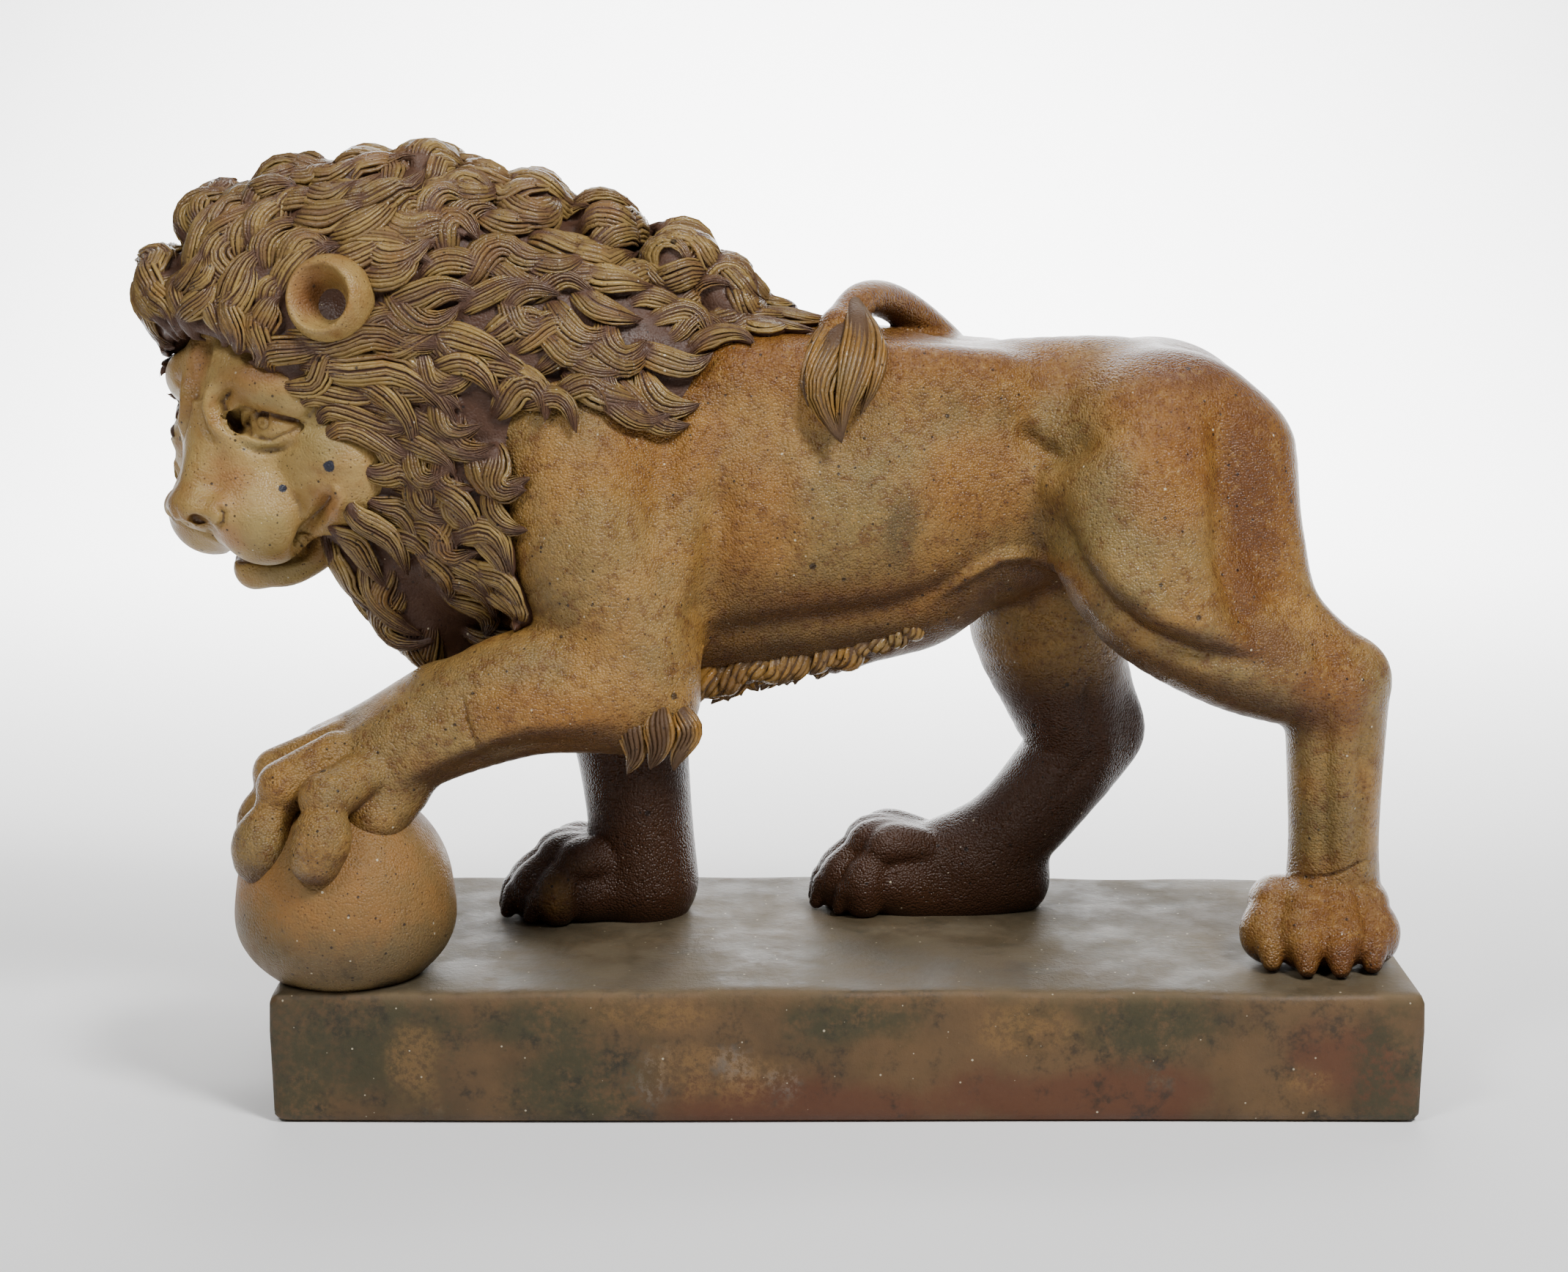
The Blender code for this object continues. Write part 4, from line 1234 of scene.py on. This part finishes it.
def stage_and_light():
    """A pale floor that curves up behind, soft light from the upper right and the photograph's camera."""
    mesh = bpy.data.meshes.new("floor")
    bm = bmesh.new()
    profile = [(-6.0, 0.0), (3.0, 0.0)]
    profile += [(3.0 + 2.0 * math.sin(a), 2.0 - 2.0 * math.cos(a)) for a in np.linspace(0.1, math.pi / 2, 10)]
    profile += [(5.0, 7.0)]
    rows = [[bm.verts.new((x, y, z)) for x in (-9.0, 9.0)] for y, z in profile]
    for low, high in zip(rows, rows[1:]):
        bm.faces.new((low[0], low[1], high[1], high[0]))
    bm.to_mesh(mesh)
    bm.free()
    mesh.shade_smooth()
    paper = Finish("pale_floor")
    paper.colour = PALE_PAPER
    mesh.materials.append(paper.done(0.9, specular=0.1))
    new_object("floor", mesh)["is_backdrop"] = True

    world = bpy.data.worlds.new("studio")
    bpy.context.scene.world = world
    world.use_nodes = True
    world.node_tree.nodes["Background"].inputs["Color"].default_value = (1, 1, 1, 1)
    world.node_tree.nodes["Background"].inputs["Strength"].default_value = 0.10
    for name, place, aim, size, power, spread in (
        ("key", (1.4, -1.9, 3.1), (0.0, 0.0, 0.45), 0.8, 150.0, 180),
        ("front", (-1.7, -2.2, 2.9), (-0.2, 0.0, 0.5), 0.9, 62.0, 180),
        ("sweep", (0.0, 3.2, 5.2), (0.0, 4.4, 0.0), 3.5, 600.0, 80),
    ):
        light = bpy.data.lights.new(name, "AREA")
        light.size = size
        light.energy = power
        light.spread = math.radians(spread)
        lamp = new_object(name, light)
        lamp.location = place
        lamp.rotation_euler = (Vector(aim) - Vector(place)).to_track_quat("-Z", "Y").to_euler()

    lens = bpy.data.cameras.new("camera")
    lens.sensor_width = 36.0
    lens.lens = 70.0
    camera = new_object("camera", lens)
    camera.location = (-0.061, -3.032, 1.033)
    camera.rotation_euler = (math.radians(90 - 11.03), 0, 0)
    bpy.context.scene.camera = camera


def modelled(name, clay, material, triangles, strokes=None, patches=None):
    """A finished piece from a space of clay."""
    skin = Skin(clay)
    if strokes:
        strokes(skin)
    recess = hollowness(skin.points, skin.quads)
    piece = new_piece(name, skin.points, skin.quads, material)
    keep_attribute(piece, "recess", recess)
    thinned(piece, triangles)
    if patches:
        keep_patches(piece, patches)
    return piece


# Soft patches of colour in the side view: the grid point of each centre, half its width and height
COAT_PATCHES = {
    "grey": (
        (1.5, 42, 7, 8), (25, 42, 6, 8), (37, 33, 9, 4), (-24, 44, 6, 7), (48, 14, 4, 9), (-35, 25, 6, 4),
        (24, 20, 6, 14),
    ),
    "warm": (
        (13, 48, 6, 8), (2, 36, 13, 3), (-18, 53, 9, 7), (-9, 46, 5, 9), (30, 49, 5, 6), (-28, 27, 9, 3),
        (20, 38, 4, 3),
    ),
    "flash": (
        (12, 67, 36, 12), (39, 50, 6, 18), (47, 29, 5, 7), (49, 3, 9, 7), (34, 57, 13, 7), (-8, 62, 14, 7)
    ),
    "streak": ((38.5, 47, 3, 13), (34, 60, 7, 3), (41, 33, 5, 3), (49, 1, 9, 3)),
    "stain": ((5.3, 43.8, 1.8, 3.6),),
}
FACE_PATCHES = {
    "blot": ((-49.7, 50.0, 0.62, 0.66), (-54.7, 47.5, 0.42, 0.40)),
    "flesh": (
        (-59.9, 48.9, 2.6, 3.4), (-56.7, 58.7, 3.6, 1.2), (-63.4, 59.4, 1.6, 3.2), (-60.0, 42.6, 2.2, 1.6),
        (-50, 46, 1.5, 2), (-51, 66.3, 2.2, 3),
    ),
    # Painted shade in the near ear's cavity
    "ear_hollow_shade": ((-50.8, 65.9, 2.0, 2.3),),
    "green": (
        (-55.9, 43.2, 2.8, 2.8), (-50.5, 53.6, 3.4, 3.4), (-54.9, 56.4, 3.0, 1.3), (-57.5, 51.6, 3, 0.8),
        (-54.5, 38.6, 5, 2.2),
    ),
}
PLINTH_PATCHES = {
    "moss": (
        (-46, -4, 12, 7), (-26, -9, 8, 6), (-30, -3, 9, 4), (30, -3, 12, 4), (53, -8, 5, 8), (0, -3, 9, 3),
        (-54, -8, 4, 9),
    ),
    "ochre": ((-42, -6, 3, 4), (-12, -8, 7, 3), (18, -4, 6, 3), (44, -9, 4, 2), (-20, -2, 8, 2)),
    "smudge": ((-10.5, -7, 2.6, 2.2), (-6.5, -9, 2.2, 1.6), (-19, -9, 1.6, 2.4)),
    "red": ((-4, -12, 16, 4), (24, -11, 18, 4), (48, -7, 8, 5)),
}


def keep_patches(piece, patches):
    """Stores, at each point of a piece, how far it lies in each set of patches."""
    x, _, z = grid_points(piece).T
    for label, places in patches.items():
        depth = [np.exp(-(((x - px) / wide) ** 2) - ((z - pz) / high) ** 2) for px, pz, wide, high in places]
        keep_attribute(piece, label, np.max(depth, axis=0))


# Strokes on the body's side views: (x, z) grid points, width and height. First those of both sides
SIDE_STROKES = (
    (((-12.0, 50), (-12.6, 44), (-13.4, 38), (-15, 33)), 1.6, -0.9),
    (((-17.0, 55), (-18.0, 47), (-18.4, 42)), 1.5, -0.5),
    (((-14.5, 56), (-14.9, 49), (-15.8, 43)), 1.6, 0.5),
    (((-14.8, 32.6), (-6, 34.0), (4.2, 35.2), (8.4, 36.6), (12.5, 38.9)), 1.3, -0.55),
    (((16.4, 53.6), (18.8, 51), (20.6, 50.5), (24.2, 53.2)), 1.2, -1.3),
    (((18.0, 48.0), (21.0, 47.6), (24.6, 49.8), (27.5, 53.0)), 2.2, 1.0),
    (((20.2, 48), (20.4, 44), (21.7, 41.2), (25, 37), (27.8, 34.7), (33.4, 32.3), (40.4, 31.4)), 1.1, -1.1),
    (((23.4, 44), (25.8, 39.8), (30, 36.4), (37, 34.4)), 1.8, 0.8),
    (((35.2, 57), (36.3, 50), (36.0, 42), (37.5, 37), (40.4, 33.3)), 1.6, -1.2),
    (((-7.0, 52), (-6.0, 46), (-6.6, 40)), 1.2, -0.35),
    (((-22.4, 54), (-23.2, 46), (-24.5, 40)), 1.8, 0.5),
    (((8.4, 36.2), (12.5, 39.0), (15.0, 40.4), (18.0, 40.6), (20.8, 39.2)), 0.7, 0.6),
)
# Then those of the left side alone, the last two kept to the inner sides of the far legs by a least y
LEFT_STROKES = (
    (((-24, 31.0), (-31, 30.4), (-38, 28.0), (-43, 25.6)), 1.2, -0.45),
    (((-23, 26.4), (-31, 26.0), (-39, 22.8), (-45, 19.4)), 1.3, 0.45),
    (((-24.5, 23.6), (-33, 23.4), (-40, 20.0)), 0.8, -0.45),
    (((-36.9, 28.8), (-36.3, 26.4), (-35.3, 23.4)), 0.16, -0.35),
    (((46.4, 27), (46.6, 20), (47.2, 12), (47.8, 8)), 0.9, -0.55),
    (((50.4, 27), (50.5, 20), (50.6, 12), (50.4, 8)), 0.7, -0.45),
    (((44.6, 33), (47.5, 30.6), (51, 31.5)), 0.9, -0.5),
    (((45.0, 8.3), (48.0, 8.9), (51.8, 10.4)), 0.16, -0.35),
    (((14.7, 60.6), (15.2, 54), (16.3, 46.4)), 0.22, -0.16),
    (((22.0, 30), (24.8, 24), (26.2, 18), (22, 13)), 1.0, -0.5, -1, 2.0),
    (((-24.0, 30), (-23.6, 22), (-22.8, 14)), 1.0, -0.4, -1, 0.0),
)


def body_strokes(skin):
    """Muscles, folds and sinews pressed and raised on the body."""
    for side in (-1, 1):
        for stroke in SIDE_STROKES:
            skin.side_stroke(*stroke, side)
    for stroke in LEFT_STROKES:
        skin.side_stroke(*stroke)
    skin.refresh()


def hair_mass(name, clay, material, triangles):
    """The clay under the strands, all of it as deep as a groove, so it takes the groove colour and the
    painted shade of the deepest grooves.
    """
    piece = modelled(name, clay, material, triangles)
    keep_attribute(piece, "recess", np.ones(len(piece.data.vertices)))
    return piece


def hair_piece(name, runs, material, clay):
    """A piece of swept strands that knows how deep each point lies in the clay of its locks."""
    piece = strands_piece(name, runs, material)
    keep_attribute(piece, "recess", 1.0 - np.clip(clay.at(grid_points(piece)) / 0.30, 0, 1))
    return piece


# The large locks from the near temple back round the ear, and those of the throat, with their widths
PLACED_LOCKS = (
    (((-54.5, -15, 62.4), (-49.6, -17.5, 61.6), (-45.2, -17.5, 62.9), (-41.5, -17.5, 61.8),
      (-37.0, -16, 62.2)), 3.6),
    (((-53.0, -16, 60.2), (-48.2, -16.5, 58.6), (-43.2, -16.5, 58.8), (-39.3, -16.5, 56.4),
      (-37.2, -16, 53.3)), 3.8),
    (((-48.9, -16.5, 57.0), (-45.5, -16.5, 56.8), (-42.8, -16.5, 54.4), (-43.0, -16, 50.6)), 3.4),
    (((-44.4, -15, 64.9), (-41.5, -15, 66.6), (-38.0, -15, 67.6), (-34.6, -14, 66.6)), 3.6),
    (((-50.6, -11, 71.6), (-46.8, -12, 72.6), (-42.6, -12.5, 71.8), (-39.2, -13, 69.4)), 3.6),
    (((-40.5, -15, 61.8), (-37.5, -15.5, 62.6), (-34.2, -15.5, 61.8), (-31.6, -15, 59.6)), 3.6),
    (((-40.2, -15, 59.4), (-37.2, -15.5, 60.4), (-34.6, -15.5, 58.9), (-33.2, -15, 56.6)), 3.4),
    (((-50.4, -9, 44.6), (-48.4, -10, 42.6), (-47.4, -10, 40.0), (-45.0, -9, 36.8)), 3.2),
    (((-48.2, -13, 46.0), (-46.6, -13, 43.6), (-44.4, -13, 41.4), (-43.6, -12, 37.4)), 3.2),
    (((-50.8, -4, 43.0), (-48.4, -5, 40.4), (-47.6, -5, 37.6), (-45.4, -5, 34.6)), 3.2),
    (((-50.2, 1, 42.0), (-48.6, 1, 39.0), (-46.6, 1, 36.6), (-45.2, 0, 33.6)), 3.2),
    (((-49.0, 6, 43.0), (-47.4, 6, 40.0), (-45.8, 5, 37.0), (-43.8, 4, 34.4)), 3.2),
)


def build():
    """Models every piece and gives each its finish and body."""
    coat, face = glazed_body(), glazed_face()
    hair = glazed_mane("salt_glazed_mane", OLIVE, MANE_STRAW, MAUVE)
    fringe = glazed_mane("salt_glazed_tufts", OLIVE, HONEY, UMBER)
    pieces = []

    clay = ClaySpace((-64, -26, -1.5), (58, 20, 70), BODY_CELL)
    for shape in (trunk, standing_foreleg, raised_foreleg, near_hind_leg, far_hind_leg, tail):
        shape(clay)
    pieces.append(modelled("lion_body", clay, coat, BODY_TRIANGLES, body_strokes, COAT_PATCHES))

    clay = ClaySpace((-76, -26, 34), (-42, 15, 72), FACE_CELL)
    head(clay)
    ears(clay)
    pieces.append(modelled("lion_face", clay, face, FACE_TRIANGLES, face_strokes, FACE_PATCHES))

    ground = ClaySpace((-77, -26, 20), (8, 20, 82), GROUND_CELL)
    for shape in (mane_mass, trunk, raised_foreleg, standing_foreleg, head):
        shape(ground)
    skin = Skin(ground)
    surface = Combed(skin.points, skin.quads)
    clay = ClaySpace((-77, -22, 24), (2, 22, 84), MANE_CELL)
    mane_mass(clay)
    rng = np.random.default_rng(7)
    quarters = {"mane_near_front": [], "mane_near_rear": [], "mane_far_front": [], "mane_far_rear": []}
    starts = mane_starts(skin.points, rng)
    curls = []
    for angle in np.arange(-176, -8, 8.5):
        reach = (1.46, 0.90) if angle < -52 else (0.96, 1.56)
        wave = rng.choice((-1, 1)) * rng.uniform(0.06, 0.14)
        course = surface.over_hairline(math.radians(angle), reach, wave)
        curls.append((*course, rng.uniform(3.0, 3.8), rng.uniform(1.3, 1.8)))
    for start in starts:
        length = np.interp(start[2], (35, 50, 70), (9.5, 8.5, 8.0)) * rng.uniform(0.85, 1.25)
        crest = max(0, min(1, (start[2] - 64) / 8))
        width = rng.uniform(2.5, 3.8) + 0.9 * crest
        height = rng.uniform(1.2, 1.8) + crest * rng.uniform(0.2, 1.3)
        hand = 1 if math.sin(0.33 * start[0] + 0.21 * start[2]) + rng.uniform(-0.7, 0.7) > 0 else -1
        bend, wave = hand * rng.uniform(0.35, 1.1), hand * rng.uniform(-0.2, 0.8)
        lean = rng.uniform(-0.3, 0.3)
        course = surface.clear_of_ears(*surface.run(start, hair_flow, length, bend, wave, lean))
        if course is None or any(on_face(spot, 0.9) for spot in course[0][2:]):
            continue
        curls.append((*course, width, height))
    for stations, width in PLACED_LOCKS:
        path, normals = (np.array(rows) for rows in zip(*map(surface.nearest, on_path(stations, STATIONS))))
        curls.append((path, normals, width, 2.0))
    for path, normals, width, height in curls:
        core, runs = lock(path, normals, width, height, STRANDS, rng)
        clay.limb(*core, blend=0.3, step=1.0)
        side = "near" if path[0][1] < 0.5 else "far"
        end = "front" if path[0][0] < -42 else "rear"
        quarters[f"mane_{side}_{end}"].extend(runs)
    pieces.append(hair_mass("mane_mass", clay, hair, MANE_TRIANGLES))
    for name, runs in quarters.items():
        pieces.append(hair_piece(name, runs, hair, clay))

    clay = ClaySpace((-27, -18, 14), (24, 12, 68), SMALL_CELL)
    runs = tufts(clay, rng)
    pieces.append(hair_mass("tuft_mass", clay, fringe, SMALL_TRIANGLES))
    pieces.append(hair_piece("tuft_strands", runs, fringe, clay))

    clay = ClaySpace((-62, -26, -3), (-36, 0, 21), SMALL_CELL)
    ball(clay)
    pieces.append(modelled("ball", clay, glazed_ball(), SMALL_TRIANGLES))

    pieces.append(plinth(weathered_plinth()))
    for piece in pieces:
        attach(piece, "root")
        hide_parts(NODE)


def plinth(material):
    """The slab under the lion, slightly warped, with softened edges."""
    bm = bmesh.new()
    size = Matrix.Diagonal((PLINTH_LENGTH, PLINTH_DEPTH, PLINTH_HEIGHT, 1))
    bmesh.ops.create_cube(bm, size=1.0, matrix=Matrix.Translation((0, 0, PLINTH_HEIGHT / 2)) @ size)
    bmesh.ops.bevel(bm, geom=bm.edges[:], offset=0.008, segments=3, affect="EDGES", profile=0.5)
    mesh = bpy.data.meshes.new("plinth")
    bm.to_mesh(mesh)
    bm.free()
    mesh.materials.append(material)
    piece = new_object("plinth", mesh)
    remesh = piece.modifiers.new("clay", "REMESH")
    remesh.mode = "VOXEL"
    remesh.voxel_size = 0.0065
    applied(piece)
    points = np.empty(3 * len(piece.data.vertices), np.float32)
    piece.data.vertices.foreach_get("co", points)
    points = points.reshape(-1, 3)
    half = np.array((PLINTH_LENGTH / 2, PLINTH_DEPTH / 2))
    gap = half - np.abs(points[:, :2])
    side_gap = np.minimum(gap[:, 0], gap[:, 1])
    top_gap = PLINTH_HEIGHT - points[:, 2]
    edge = np.exp(-((side_gap**2 + top_gap**2) ** 0.5) / 0.006)
    keep_attribute(piece, "edge", edge)
    x, y, z = points.T.copy()
    rim = np.clip(z / PLINTH_HEIGHT, 0, 1)
    points[:, 2] += rim * (0.0022 * np.sin(4.4 * x + 1.9) - 0.0016) + 0.0008 * rim * np.sin(31 * x + 9 * y)
    points[:, 1] -= y / half[1] * (0.0016 * np.sin(6.1 * x + 7 * z) + 0.0018 * rim)
    points[:, 0] -= x / half[0] * 0.0026 * np.abs(np.sin(11 * z + 5 * y))
    piece.data.vertices.foreach_set("co", points.astype(np.float32).ravel())
    piece.data.shade_smooth()
    keep_patches(piece, PLINTH_PATCHES)
    return piece


stage_and_light()
build()

new_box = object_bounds()
boxes = {"cad": cad_box, "visual": new_box}
{label: [list(map(float, corner)) for corner in box] for label, box in boxes.items()}
